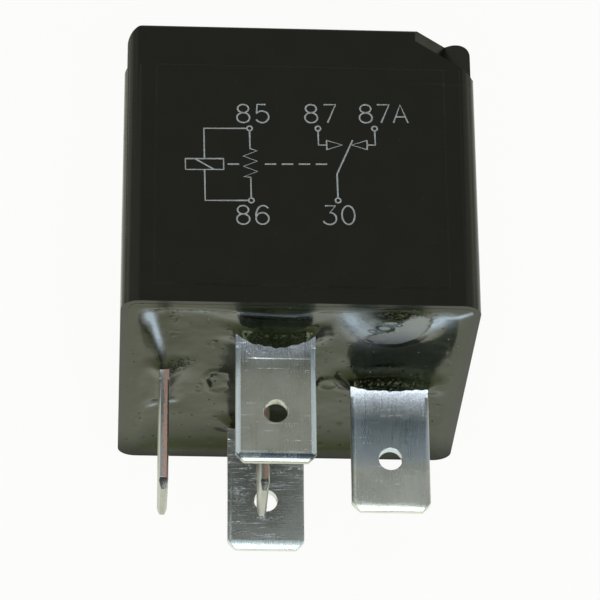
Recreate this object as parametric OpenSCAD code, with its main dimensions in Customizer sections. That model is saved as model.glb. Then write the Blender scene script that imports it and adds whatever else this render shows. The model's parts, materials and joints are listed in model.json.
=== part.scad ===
// Plug-in changeover relay with a sealed, potted terminal end.
// Drawn plug-down: z = 0 on the rim of the cover, blades below it, label face towards -y.
// The finished part lies on its back: +z out of the label face, +y towards the roof of the cover.

/* [Cover] */
// Width across the label face
body_w = 28; // [27:0.1:32]
// Depth from the label face to the back
body_d = 28.5; // [27:0.1:34]
// Height from the rim to the roof
body_h = 25; // [24:0.1:32]
// Thickness of the side walls
wall = 1; // [0.8:0.05:1.3]
// Thickness of the roof
roof = 1.2; // [0.8:0.05:1.6]
// Radius of the four upright edges
edge_r = 1.5; // [0.8:0.1:2.5]
// Radius of the roof edges at the left and right sides
side_roof_r = 1.6; // [0.5:0.1:2.5]
// Radius of the roof edges at the label face and the back
face_roof_r = 0.25; // [0.1:0.05:1.5]
// Height of the band under the roof that steps in
band_h = 3.7; // [2:0.1:6]
// How far that band steps in at the left and right sides
band_inset = 0.2; // [0.1:0.05:0.5]
// How far it steps in at the label face and the back
face_inset = 0.05; // [0.02:0.01:0.3]

/* [Label panel] */
// Width of the raised panel on the label face
panel_w = 23.1; // [18:0.1:24]
// How far the panel stands proud
panel_t = 0.15; // [0.05:0.05:0.4]
// Height of the panel's lower edge above the rim
panel_sill = 1.4; // [0.5:0.1:4]

/* [Key notch] */
// Where the notch starts, from the right side
notch_w = 4.95; // [3:0.05:7]
// Depth of the notch floor below the roof at its left end
notch_start = 0.87; // [0.3:0.01:2]
// Fall of the notch floor towards the right side, in degrees
notch_fall = 33.5; // [15:0.5:45]
// Depth of the notch's inner corner behind the label face
notch_d = 2.75; // [1:0.05:4]
// Distance of the inner corner from the right side
notch_corner = 2.1; // [1:0.05:4]
// Depth of the notch at the right side, behind the label face
notch_side_d = 1.4; // [0.3:0.05:2]

/* [Blades] */
// Width of a blade
blade_w = 6.3; // [4.8:0.1:8]
// Thickness of a blade
blade_t = 0.8; // [0.5:0.05:1.2]
// Length of the common blade below the rim
common_len = 11.1; // [9:0.05:16]
// Length of the two coil blades below the rim
coil_len = 10.85; // [9:0.05:16]
// Length of the make and break blades below the rim
switched_len = 10.5; // [9:0.05:16]
// Length of the lead-in bevel at the tip
tip_bevel = 0.75; // [0.3:0.05:1.5]
// Thickness left at the tip
tip_t = 0.4; // [0.2:0.05:0.6]
// Width of the cut at each tip corner
tip_corner = 0.65; // [0.2:0.05:1.2]
// Width of the coined border along the long edges
coin_w = 0.4; // [0.2:0.05:0.8]
// Depth of the coined border
coin_d = 0.12; // [0.05:0.01:0.2]
// Length of plain blade between the rim and the coined border
plain_root = 1.1; // [0.8:0.1:2.5]
// Diameter of the detent hole
hole_d = 1.9; // [1.2:0.05:2.6]
// Distance of the detent hole below the rim
hole_drop = 6.6; // [5:0.05:7.5]

/* [Blade layout] */
// Offset of the blade pattern from the middle, towards the back
pattern_y = 0.3; // [-1:0.05:1]
// Distance between the two coil blades
coil_pitch = 17; // [15.5:0.1:19]
// Place of the coil blades across the label face
coil_blades_x = -1.8; // [-2.5:0.05:-1]
// Place of the common blade (30)
common_x = 7.8; // [7:0.05:9]
// Place of the make blade (87)
make_x = -10.4; // [-11.2:0.05:-9.8]
// Place of the break blade (87a)
break_x = -2.4; // [-3.2:0.05:-2]

/* [Seal and header] */
// How far the potted surface lies inside the rim
seal_recess = 0.6; // [0.2:0.05:1.5]
// Thickness of the potting
seal_t = 1.4; // [0.8:0.1:2.5]
// Reach of the meniscus at a blade
blade_meniscus = 1.25; // [0.4:0.05:1.6]
// Reach of the meniscus at the cover's walls
wall_meniscus = 0.35; // [0.1:0.05:0.5]
// Thickness of the header plate
header_t = 1.8; // [1:0.1:3]
// Room around each blade in the header
slot_gap = 0.05; // [0.02:0.01:0.2]
// Room between the header and the walls
header_gap = 0.1; // [0.05:0.05:0.3]

/* [Magnet] */
// Thickness of the yoke's steel
yoke_t = 1.6; // [1:0.1:2.2]
// Width of the yoke
yoke_w = 11; // [9:0.1:13]
// Room between the yoke and the right wall, for the spring and its rivets
yoke_room = 1.5; // [1.2:0.1:2.5]
// Room between the bobbin and the yoke
bobbin_room = 0.3; // [0.1:0.05:1]
// Room between the bobbin and the coil blades
blade_room = 1.4; // [1:0.1:2]
// Thickness of the bobbin's flanges
flange_t = 1; // [0.6:0.1:1.5]
// Wall of the bobbin's tube
tube_t = 0.8; // [0.5:0.1:1.2]
// Diameter of the core
core_d = 5.2; // [4:0.1:6.5]
// Diameter of the core's staked tail
tail_d = 3.6; // [2.5:0.1:4]
// Room around the core in the bobbin
core_gap = 0.1; // [0.05:0.05:0.3]
// Diameter of the pole face
pole_d = 8.4; // [7:0.1:10]
// Thickness of the pole face
pole_t = 1; // [0.6:0.1:1.6]
// How far the flanges stand out past the winding
flange_lip = 0.6; // [0.3:0.05:1.2]
// Corner radius of the flanges
flange_r = 1.5; // [0.5:0.1:3]

/* [Armature and spring] */
// Thickness of the armature
armature_t = 1.4; // [1:0.1:2]
// Width of the armature at the hinge
armature_w = 10.5; // [8:0.1:12]
// Width of the armature at its free end
armature_tip_w = 8.5; // [6:0.1:10]
// How far the armature reaches past the pole face
armature_past = 1.2; // [0.6:0.1:2]
// How far the armature lies over the yoke's edge
armature_over = 0.7; // [0.4:0.05:0.9]
// Travel of the armature in degrees
travel = 2.6; // [1.5:0.1:3.5]
// Thickness of the contact spring
leaf_t = 0.25; // [0.15:0.05:0.4]
// Width of the contact spring at the hinge
leaf_w = 9; // [7:0.1:10]
// Width of the contact spring at the contact
leaf_tip_w = 4.4; // [4:0.1:5]
// Length of the spring's leg down the yoke
leaf_leg = 8; // [7:0.1:11]
// Inner radius of the spring's bend
bend_r = 0.9; // [0.7:0.05:1.1]
// Width of the window at the spring's bend
window_w = 3.6; // [2:0.1:5]
// Length of the window, measured from the bend each way
window_l = 1.4; // [0.6:0.1:2]
// Diameter of the rivet shanks
rivet_d = 1.4; // [1:0.1:1.8]
// Diameter of the rivet heads
rivet_head_d = 2.4; // [2:0.1:3]
// Height of the rivet heads
rivet_head_h = 0.5; // [0.3:0.05:0.7]
// Distance between the two rivets of a pair
rivet_pitch = 5; // [4:0.1:6]
// Distance of the yoke's rivets below the spring's bend
leg_rivet_drop = 5.2; // [4:0.1:5.6]
// Distance of the armature's rivets from the coil's axis, towards the hinge
armature_rivet_offset = 2.1; // [1:0.1:3]

/* [Contacts] */
// Place of the contacts across the label face
contact_x = -7.6; // [-8:0.05:-6.8]
// Diameter of the contact heads
contact_d = 3.4; // [2.6:0.1:3.8]
// Height of the contact heads
contact_h = 0.7; // [0.5:0.05:0.8]
// Diameter of the contact shanks
shank_d = 1.6; // [1:0.1:2]
// Radius of the crown on the fixed contacts
crown_r = 10; // [6:0.5:16]
// Width of the arms that carry the fixed contacts
arm_w = 4.4; // [4:0.1:5.2]
// Room between the upper contact arm and the roof
arm_room = 0.4; // [0.3:0.05:1]
// Width of the riser that carries the upper contact arm
riser_w = 3.6; // [2.5:0.1:4]
// Gap between that riser and the coil blade behind it
riser_room = 0.55; // [0.4:0.05:1]
// Distance of that riser from the contacts, to the left
riser_offset = 0.4; // [0.2:0.05:0.6]

/* [Resistor] */
// Diameter of the resistor's body
resistor_d = 2.3; // [1.6:0.1:2.6]
// Length of the resistor's body
resistor_l = 6.4; // [4:0.1:8]
// Diameter of the resistor's end caps
cap_d = 2.6; // [2:0.1:2.8]
// Length of an end cap
cap_l = 1.3; // [0.8:0.1:2]
// Diameter of the resistor's leads
lead_d = 0.6; // [0.4:0.05:0.8]
// Place of the resistor across the label face
resistor_x = -5.6; // [-5.9:0.05:-5.4]
// Height of the resistor above the header
resistor_lift = 4.7; // [4:0.1:6]
// Diameter of the winding's wire ends
wire_d = 0.4; // [0.2:0.05:0.6]

/* [Hidden] */
$fn = 64;
// Cut tools reach this far past what they cut
past = 1;
// Running and seating clearances
seat_gap = 0.02;
hinge_gap = 0.05;
stop_gap = 0.04;
make_gap = 0.06;
lead_gap = 0.05;
// Least radius of the cover's inner corners
least_in_r = 0.4;
// Radius of a meniscus's hollow, as a multiple of its reach
hollow = 1.25;
// Colours
black = "#242520";
header_black = "#1d1d1b";
potting = "#6a6d56";
tin = "#a9a8a2";
steel = "#b3ada0";
natural = "#e4ddcc";
copper = "#9a4a1f";
bronze = "#b5794a";
silver = "#d9d8d2";
lacquer = "#c9a878";

// Inside of the cover
in_w = body_w - 2 * wall;
in_d = body_d - 2 * wall;
in_r = max(edge_r - wall, least_in_r);
roof_z = body_h - roof;
band_z = body_h - band_h;
front_y = -body_d / 2;
right_x = body_w / 2;

// Levels from the rim upwards
seal_z = seal_recess;
header_z = seal_z + seal_t;
foot_z = header_z + header_t;
leg_z = foot_z + blade_t;
flange_z = leg_z + yoke_t;
winding_z = flange_z + flange_t;

// Levels from the roof downwards
upper_arm_z = roof_z - arm_room - blade_t;
leaf_z = upper_arm_z - 2 * contact_h - stop_gap - leaf_t;
armature_z = leaf_z - armature_t;
yoke_top = armature_z - hinge_gap;

// Places across the label face
yoke_x = in_w / 2 - yoke_room - yoke_t;
hinge_x = yoke_x;
flange_w = coil_pitch - blade_t - 2 * blade_room;
coil_x = yoke_x - bobbin_room - flange_w / 2;
coil_y = pattern_y;
lever = hinge_x - contact_x;
pole_reach = hinge_x - coil_x + pole_d / 2;

// Levels that follow from the armature's travel
pole_top = armature_z - pole_reach * sin(travel) - stop_gap;
flange_top = pole_top - pole_t;
winding_h = flange_top - flange_t - winding_z - seat_gap;
lower_face_z = leaf_z - contact_h - lever * sin(travel) - make_gap;
lower_arm_z = lower_face_z - contact_h - blade_t;

// Winding and bobbin
winding_d = flange_w - 2 * flange_lip;
tube_d = core_d + 2 * core_gap + 2 * tube_t;

// Spring
bend_z = leaf_z - bend_r;
leg_x = yoke_x + yoke_t + seat_gap;
bend_x = leg_x - bend_r;
armature_end_x = hinge_x + armature_over;
armature_tip_x = hinge_x - pole_reach - armature_past;
leg_rivet_z = bend_z - leg_rivet_drop;
armature_rivet_x = coil_x + armature_rivet_offset;

// Coil blades and resistor
tab_h = resistor_lift + cap_d / 2;
tab_x = resistor_x - blade_t;
tab_w = coil_blades_x + blade_w / 4 - tab_x;
resistor_z = foot_z + resistor_lift;
riser_y = pattern_y + coil_pitch / 2 - blade_t / 2 - riser_room - riser_w;
riser_x = contact_x - riser_offset - blade_t;

// Lays the plug-down drawing on its back, with the middle of the back face at the origin
module laid() {
    translate([0, -body_h / 2, body_d / 2]) rotate([-90, 0, 0]) children();
}

// Stands a flat drawing up in the x-z plane, with its thickness centred on y = 0
module upright(thickness) {
    rotate([90, 0, 0]) linear_extrude(thickness, center = true) children();
}

// Stands a flat drawing up in the y-z plane, with its thickness centred on x = 0
module sideways(thickness) {
    rotate([90, 0, 90]) linear_extrude(thickness, center = true) children();
}

module rounded_rect(w, d, r) {
    square([w, d - 2 * r], center = true);
    square([w - 2 * r, d], center = true);
    for (sx = [-1, 1], sy = [-1, 1])
        translate([sx * (w / 2 - r), sy * (d / 2 - r)]) circle(r);
}

// Outline of the cover seen square on: full width below the band, stepped in and rounded above it
module roofed_outline(w, r, inset) {
    band_w = w - 2 * inset;
    translate([-w / 2, 0]) square([w, band_z - inset]);
    polygon([
        [-w / 2, band_z - inset], [w / 2, band_z - inset],
        [band_w / 2, band_z], [-band_w / 2, band_z]
    ]);
    translate([-band_w / 2, band_z - past]) square([band_w, band_h - r + past]);
    translate([-band_w / 2 + r, band_z]) square([band_w - 2 * r, band_h]);
    for (s = [-1, 1]) translate([s * (band_w / 2 - r), body_h - r]) circle(r);
}

// Outer block of the cover, behind the label panel
module cover_block() {
    block_d = body_d - panel_t;
    translate([0, panel_t / 2, 0]) intersection() {
        linear_extrude(body_h) rounded_rect(body_w, block_d, edge_r);
        upright(body_d + past) roofed_outline(body_w, side_roof_r, band_inset);
        sideways(body_w + past) roofed_outline(block_d, face_roof_r, face_inset);
    }
}

// Raised panel on the label face, with bevelled edges
module label_panel() {
    root_y = front_y + panel_t;
    panel_h = band_z - panel_sill;
    inner = wall / 2;
    intersection() {
        translate([0, 0, panel_sill]) linear_extrude(panel_h) polygon([
            [-panel_w / 2, root_y + inner], [panel_w / 2, root_y + inner],
            [panel_w / 2, root_y], [panel_w / 2 - panel_t, front_y],
            [-panel_w / 2 + panel_t, front_y], [-panel_w / 2, root_y]
        ]);
        sideways(panel_w) polygon([
            [root_y + inner, panel_sill], [root_y + inner, band_z],
            [root_y, band_z], [front_y, band_z - panel_t],
            [front_y, panel_sill + panel_t], [root_y, panel_sill]
        ]);
    }
}

// Notch in the upper right corner of the label face, with a floor that falls to the right.
// A margin makes it larger on every inner side, for the wall that follows it inside the cover.
module key_notch(margin = 0) {
    slant = margin * sqrt(2);
    start_x = right_x - notch_w - slant;
    floor_z = body_h - notch_start - slant;
    end_x = right_x + past;
    intersection() {
        linear_extrude(body_h + past) polygon([
            [start_x - past, front_y - past], [right_x - notch_corner, front_y + notch_d + slant],
            [right_x, front_y + notch_side_d + slant], [end_x, front_y - past]
        ]);
        upright(2 * body_d) polygon([
            [start_x - past, body_h + past], [start_x - past, floor_z + past * tan(notch_fall)],
            [end_x, floor_z - (end_x - start_x) * tan(notch_fall)], [end_x, body_h + past]
        ]);
    }
}

module cover() {
    color(black) difference() {
        union() {
            cover_block();
            label_panel();
        }
        difference() {
            translate([0, 0, -past]) linear_extrude(roof_z + past) rounded_rect(in_w, in_d, in_r);
            key_notch(wall);
        }
        key_notch();
    }
}

// Places a child, drawn at the origin with its width along x, at each of the five blades
module at_common() { translate([common_x, pattern_y, 0]) children(); }
module at_coil(side) { translate([coil_blades_x, pattern_y + side * coil_pitch / 2, 0]) children(); }
module at_make() { translate([make_x, pattern_y, 0]) rotate(90) children(); }
module at_break() { translate([break_x, pattern_y, 0]) rotate(90) children(); }
module at_blades() {
    at_common() children();
    at_coil(-1) children();
    at_coil(1) children();
    at_make() children();
    at_break() children();
}

// Cross-section of a blade through the header and the seal, with room around it
module slot_outline(room) {
    square([blade_w + 2 * room, blade_t + 2 * room], center = true);
}

module header() {
    pad_x = break_x + 2 * blade_t;
    pad_end = coil_x - tail_d / 2 - past;
    color(header_black) difference() {
        union() {
            translate([0, 0, header_z]) linear_extrude(header_t)
                rounded_rect(in_w - 2 * header_gap, in_d - 2 * header_gap, in_r);
            translate([pad_x, coil_y - yoke_w / 4, foot_z]) cube([pad_end - pad_x, yoke_w / 2, blade_t]);
        }
        translate([0, 0, header_z - past]) at_blades()
            linear_extrude(header_t + 2 * past) slot_outline(slot_gap);
    }
}

// Hollow fillet that a liquid leaves in a corner, drawn with its legs along +x and +y
module meniscus_section(reach) {
    curve_r = reach * hollow;
    offset_c = (reach + sqrt(2 * curve_r * curve_r - reach * reach)) / 2;
    difference() {
        translate([0, -seal_t / 4]) square([reach, reach + seal_t / 4]);
        translate([offset_c, offset_c]) circle(curve_r);
    }
}

// Meniscus around a blade, standing up from z = 0
module blade_fillet() {
    for (s = [0, 180]) {
        rotate(s) translate([0, blade_t / 2, 0]) rotate([90, 0, 90])
            linear_extrude(blade_w, center = true) meniscus_section(blade_meniscus);
        rotate(s) translate([blade_w / 2, 0, 0]) rotate([90, 0, 0])
            linear_extrude(blade_t, center = true) meniscus_section(blade_meniscus);
        for (e = [-1, 1])
            rotate(s) translate([blade_w / 2, e * blade_t / 2, 0])
                rotate_extrude(angle = e * 90) meniscus_section(blade_meniscus);
    }
}

// Meniscus along the walls of the cover, standing up from z = 0
module wall_fillet() {
    for (s = [0, 180]) rotate(s) {
        translate([0, -in_d / 2 + seat_gap, 0]) rotate([90, 0, 90])
            linear_extrude(in_w - 2 * in_r, center = true) meniscus_section(wall_meniscus);
        translate([-in_w / 2 + seat_gap, 0, 0]) rotate([90, 0, 0])
            linear_extrude(in_d - 2 * in_r, center = true) meniscus_section(wall_meniscus);
        for (e = [-1, 1])
            translate([in_w / 2 - in_r, e * (in_d / 2 - in_r), 0]) rotate_extrude(angle = e * 90)
                translate([in_r - seat_gap, 0]) mirror([1, 0]) meniscus_section(wall_meniscus);
    }
}

module seal() {
    color(potting) difference() {
        union() {
            translate([0, 0, seal_z]) linear_extrude(seal_t)
                rounded_rect(in_w - 2 * seat_gap, in_d - 2 * seat_gap, in_r - seat_gap);
            translate([0, 0, seal_z]) mirror([0, 0, 1]) {
                at_blades() blade_fillet();
                wall_fillet();
            }
        }
        translate([0, 0, -common_len]) at_blades() linear_extrude(common_len + foot_z) slot_outline(0);
    }
}

// One blade of a given length, up to the header's foot level: bevelled tip, coined borders, detent hole
module blade(length) {
    top = foot_z + blade_t;
    half_w = blade_w / 2;
    half_t = blade_t / 2;
    bevel_z = -length + tip_bevel;
    difference() {
        intersection() {
            upright(blade_t) polygon([
                [-half_w, top], [half_w, top], [half_w, bevel_z],
                [half_w - tip_corner, -length], [-half_w + tip_corner, -length], [-half_w, bevel_z]
            ]);
            sideways(blade_w) polygon([
                [-half_t, top], [half_t, top], [half_t, bevel_z],
                [tip_t / 2, -length], [-tip_t / 2, -length], [-half_t, bevel_z]
            ]);
            union() {
                translate([0, 0, -plain_root]) linear_extrude(top + plain_root) slot_outline(0);
                translate([0, 0, -length]) linear_extrude(length) polygon([
                    [-half_w + coin_w, -half_t], [half_w - coin_w, -half_t],
                    [half_w, -half_t + coin_d], [half_w, half_t - coin_d],
                    [half_w - coin_w, half_t], [-half_w + coin_w, half_t],
                    [-half_w, half_t - coin_d], [-half_w, -half_t + coin_d]
                ]);
            }
        }
        translate([0, 0, -hole_drop]) rotate([90, 0, 0])
            cylinder(d = hole_d, h = blade_t + past, center = true);
    }
}

// Common terminal: its foot is bent over the header and welded under the yoke
module terminal_30() {
    color(tin) at_common() {
        blade(common_len);
        translate([-blade_w / 2, -blade_t / 2, foot_z]) cube([blade_w, yoke_w / 2, blade_t]);
    }
}

// Coil terminal: a shoulder on the header and a tab with a slot for the resistor's lead
module coil_terminal(side) {
    slot_w = lead_d + 2 * lead_gap;
    blade_y = pattern_y + side * coil_pitch / 2;
    color(tin) difference() {
        union() {
            at_coil(side) blade(coil_len);
            translate([tab_x, blade_y - blade_t / 2, foot_z]) cube([tab_w, blade_t, tab_h]);
        }
        translate([resistor_x - slot_w / 2, blade_y - blade_t, resistor_z - slot_w / 2])
            cube([slot_w, 2 * blade_t, tab_h]);
    }
}

module terminal_85() { coil_terminal(-1); }
module terminal_86() { coil_terminal(1); }

// Round pad that carries a fixed contact, joined to its arm
module contact_pad() {
    translate([contact_x, pattern_y]) circle(d = arm_w);
}

// Make terminal: rises along the left wall and carries the lower contact on its arm
module terminal_87() {
    color(tin) difference() {
        union() {
            at_make() blade(switched_len);
            translate([make_x - blade_t / 2, pattern_y - arm_w / 2, foot_z])
                cube([blade_t, arm_w, lower_arm_z + blade_t - foot_z]);
            translate([0, 0, lower_arm_z]) linear_extrude(blade_t) {
                contact_pad();
                translate([make_x - blade_t / 2, pattern_y - arm_w / 2])
                    square([contact_x - make_x + blade_t / 2, arm_w]);
            }
        }
        translate([contact_x, pattern_y, lower_arm_z - past])
            cylinder(d = shank_d + 2 * seat_gap, h = blade_t + 2 * past);
    }
}

// Break terminal: runs left over the header, rises behind the contacts and carries the upper one
module terminal_87a() {
    riser_end = riser_y + riser_w;
    stem_x = break_x + blade_t / 2;
    color(tin) difference() {
        union() {
            at_break() blade(switched_len);
            translate([0, 0, foot_z]) linear_extrude(blade_t) polygon([
                [stem_x, pattern_y - blade_w / 2], [stem_x, pattern_y + blade_w / 2],
                [stem_x - riser_w, riser_end], [riser_x, riser_end],
                [riser_x, riser_y], [stem_x - riser_w, pattern_y - blade_w / 2]
            ]);
            translate([riser_x, riser_y, foot_z]) cube([blade_t, riser_w, upper_arm_z + blade_t - foot_z]);
            translate([0, 0, upper_arm_z]) linear_extrude(blade_t) {
                contact_pad();
                polygon([
                    [riser_x, riser_end], [contact_x + arm_w / 2, riser_end],
                    [contact_x + arm_w / 2, pattern_y], [riser_x, pattern_y]
                ]);
            }
        }
        translate([contact_x, pattern_y, upper_arm_z - past])
            cylinder(d = shank_d + 2 * seat_gap, h = blade_t + 2 * past);
    }
}

// L-shaped yoke: a leg under the bobbin and a plate up its right side, bent from one strip
module yoke() {
    leg_end = coil_x - tail_d / 2 - yoke_t;
    outer_r = yoke_t;
    corner_x = yoke_x + yoke_t - outer_r;
    color(steel) translate([0, coil_y, 0]) difference() {
        upright(yoke_w) {
            translate([leg_end, leg_z]) square([corner_x - leg_end, yoke_t]);
            translate([yoke_x, leg_z + outer_r]) square([yoke_t, yoke_top - leg_z - outer_r]);
            intersection() {
                translate([corner_x, leg_z + outer_r]) circle(outer_r);
                translate([corner_x, leg_z]) square([outer_r, outer_r]);
            }
        }
        translate([coil_x, 0, leg_z - past])
            cylinder(d = tail_d + 2 * seat_gap, h = yoke_t + 2 * past);
        for (s = [-1, 1]) translate([yoke_x - past, s * rivet_pitch / 2, leg_rivet_z]) rotate([0, 90, 0])
            cylinder(d = rivet_d + 2 * seat_gap, h = yoke_t + 2 * past);
    }
}

// Core with a staked tail below and a wide pole face above
module core() {
    color(steel) translate([coil_x, coil_y, 0]) {
        translate([0, 0, leg_z]) cylinder(d = tail_d, h = yoke_t);
        translate([0, 0, flange_z]) cylinder(d = core_d, h = flange_top - flange_z);
        translate([0, 0, flange_top]) cylinder(d = pole_d, h = pole_t);
    }
}

module bobbin() {
    color(natural) translate([coil_x, coil_y, 0]) difference() {
        union() {
            for (z = [flange_z, flange_top - flange_t])
                translate([0, 0, z]) linear_extrude(flange_t) rounded_rect(flange_w, flange_w, flange_r);
            translate([0, 0, flange_z]) cylinder(d = tube_d, h = flange_top - flange_z);
        }
        translate([0, 0, flange_z - past])
            cylinder(d = core_d + 2 * core_gap, h = flange_top - flange_z + 2 * past);
    }
}

module winding() {
    color(copper) translate([coil_x, coil_y, winding_z]) difference() {
        cylinder(d = winding_d, h = winding_h);
        translate([0, 0, -past]) cylinder(d = tube_d + 2 * seat_gap, h = winding_h + 2 * past);
    }
}

// Wire ends from the winding to the tabs of the two coil terminals
module winding_leads() {
    color(copper) for (s = [-1, 1]) {
        tab_y = s * (coil_pitch / 2 - blade_t / 2);
        start_y = s * (winding_d / 2 + lead_gap + wire_d / 2);
        run = tab_y - start_y - s * (lead_gap + wire_d / 2);
        translate([coil_x, coil_y + start_y, winding_z + wire_d]) rotate([0, -90, 0])
            cylinder(d = wire_d, h = coil_x - tab_x - tab_w + blade_t);
        translate([tab_x + tab_w - blade_t, coil_y + start_y, winding_z + wire_d]) sphere(d = wire_d);
        translate([tab_x + tab_w - blade_t, coil_y + start_y, winding_z + wire_d]) rotate([-90, 0, 0])
            mirror([0, 0, s < 0 ? 1 : 0]) cylinder(d = wire_d, h = abs(run) + wire_d / 2);
    }
}

// Armature: a steel plate that tips on the yoke's edge
module armature() {
    color(steel) difference() {
        translate([0, 0, armature_z]) linear_extrude(armature_t) polygon([
            [armature_end_x, coil_y - armature_w / 2], [armature_end_x, coil_y + armature_w / 2],
            [coil_x, coil_y + armature_w / 2], [armature_tip_x, coil_y + armature_tip_w / 2],
            [armature_tip_x, coil_y - armature_tip_w / 2], [coil_x, coil_y - armature_w / 2]
        ]);
        for (s = [-1, 1]) translate([armature_rivet_x, coil_y + s * rivet_pitch / 2, armature_z - past])
            cylinder(d = rivet_d + 2 * seat_gap, h = armature_t + 2 * past);
    }
}

// Contact spring: one strip down the yoke, round the hinge and along the armature to the contact
module contact_spring() {
    leg_bottom = bend_z - leaf_leg;
    color(bronze) difference() {
        union() {
            translate([leg_x, coil_y - leaf_w / 2, leg_bottom]) cube([leaf_t, leaf_w, leaf_leg]);
            translate([0, coil_y, 0]) upright(leaf_w) intersection() {
                translate([bend_x, bend_z]) difference() {
                    circle(bend_r + leaf_t);
                    circle(bend_r);
                }
                translate([bend_x, bend_z]) square(bend_r + leaf_t);
            }
            translate([0, 0, leaf_z]) linear_extrude(leaf_t) {
                polygon([
                    [bend_x, coil_y - leaf_w / 2], [bend_x, coil_y + leaf_w / 2],
                    [coil_x, coil_y + leaf_w / 2], [contact_x, pattern_y + leaf_tip_w / 2],
                    [contact_x, pattern_y - leaf_tip_w / 2], [coil_x, coil_y - leaf_w / 2]
                ]);
                translate([contact_x, pattern_y]) circle(d = leaf_tip_w);
            }
        }
        translate([bend_x - window_l, coil_y - window_w / 2, bend_z - window_l])
            cube([window_l + 2 * bend_r, window_w, window_l + 2 * bend_r]);
        for (s = [-1, 1]) {
            translate([leg_x - past, coil_y + s * rivet_pitch / 2, leg_rivet_z]) rotate([0, 90, 0])
                cylinder(d = rivet_d + 2 * seat_gap, h = leaf_t + 2 * past);
            translate([armature_rivet_x, coil_y + s * rivet_pitch / 2, leaf_z - past])
                cylinder(d = rivet_d + 2 * seat_gap, h = leaf_t + 2 * past);
        }
        translate([contact_x, pattern_y, leaf_z - past])
            cylinder(d = shank_d + 2 * seat_gap, h = leaf_t + 2 * past);
    }
}

// Rivet with its shank up from z = 0 and a low domed head on top
module rivet(grip) {
    dome_r = (rivet_head_h * rivet_head_h + rivet_head_d * rivet_head_d / 4) / (2 * rivet_head_h);
    cylinder(d = rivet_d, h = grip);
    translate([0, 0, grip]) intersection() {
        translate([0, 0, rivet_head_h - dome_r]) sphere(dome_r);
        cylinder(d = rivet_head_d, h = rivet_head_h);
    }
}

module spring_rivets() {
    color(steel) for (s = [-1, 1])
        translate([yoke_x, coil_y + s * rivet_pitch / 2, leg_rivet_z]) rotate([0, 90, 0])
            rivet(yoke_t + leaf_t + 2 * seat_gap);
}

module armature_rivets() {
    color(steel) for (s = [-1, 1])
        translate([armature_rivet_x, coil_y + s * rivet_pitch / 2, armature_z]) rivet(armature_t + leaf_t);
}

// Double-headed contact in the end of the spring
module moving_contact() {
    color(silver) translate([contact_x, pattern_y, leaf_z]) {
        translate([0, 0, -contact_h]) cylinder(d = contact_d, h = contact_h);
        cylinder(d = shank_d, h = leaf_t);
        translate([0, 0, leaf_t]) cylinder(d = contact_d, h = contact_h);
    }
}

// Crowned fixed contact: shank up to z = 0, head above it
module fixed_contact() {
    translate([0, 0, -blade_t]) cylinder(d = shank_d, h = blade_t);
    intersection() {
        cylinder(d = contact_d, h = contact_h);
        translate([0, 0, contact_h - crown_r]) sphere(crown_r);
    }
}

module make_contact() {
    color(silver) translate([contact_x, pattern_y, lower_arm_z + blade_t]) fixed_contact();
}

module break_contact() {
    color(silver) translate([contact_x, pattern_y, upper_arm_z]) mirror([0, 0, 1]) fixed_contact();
}

// Resistor body, lying along y, with a fuller cap at each end
module resistor() {
    color(lacquer) translate([resistor_x, pattern_y, resistor_z]) rotate([90, 0, 0]) {
        cylinder(d = resistor_d, h = resistor_l, center = true);
        for (s = [-1, 1]) translate([0, 0, s * (resistor_l - cap_l) / 2])
            cylinder(d = cap_d, h = cap_l, center = true);
    }
}

// Leads from the resistor into the slots of the coil terminals
module resistor_leads() {
    reach = coil_pitch / 2 + blade_t - resistor_l / 2;
    color(tin) for (s = [-1, 1])
        translate([resistor_x, pattern_y + s * (resistor_l / 2 + reach / 2), resistor_z]) rotate([90, 0, 0])
            cylinder(d = lead_d, h = reach, center = true);
}

laid() cover();
laid() header();
laid() seal();
laid() terminal_30();
laid() terminal_85();
laid() terminal_86();
laid() terminal_87();
laid() terminal_87a();
laid() yoke();
laid() core();
laid() bobbin();
laid() winding();
laid() winding_leads();
laid() armature();
laid() contact_spring();
laid() spring_rivets();
laid() armature_rivets();
laid() moving_contact();
laid() make_contact();
laid() break_contact();
laid() resistor();
laid() resistor_leads();
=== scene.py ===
# %% [markdown]
# # A plug-in relay on its back
# The relay is a black cover, closed at one end by glossy potting compound, with five flat blades.
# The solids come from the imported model, in metres and in place. This lesson gives each of them
# rounded edges and a finish, makes the potting, the coil and the print anew, and adds light.

import json
import math
import random

import bpy
import numpy as np
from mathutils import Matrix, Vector, noise

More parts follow.
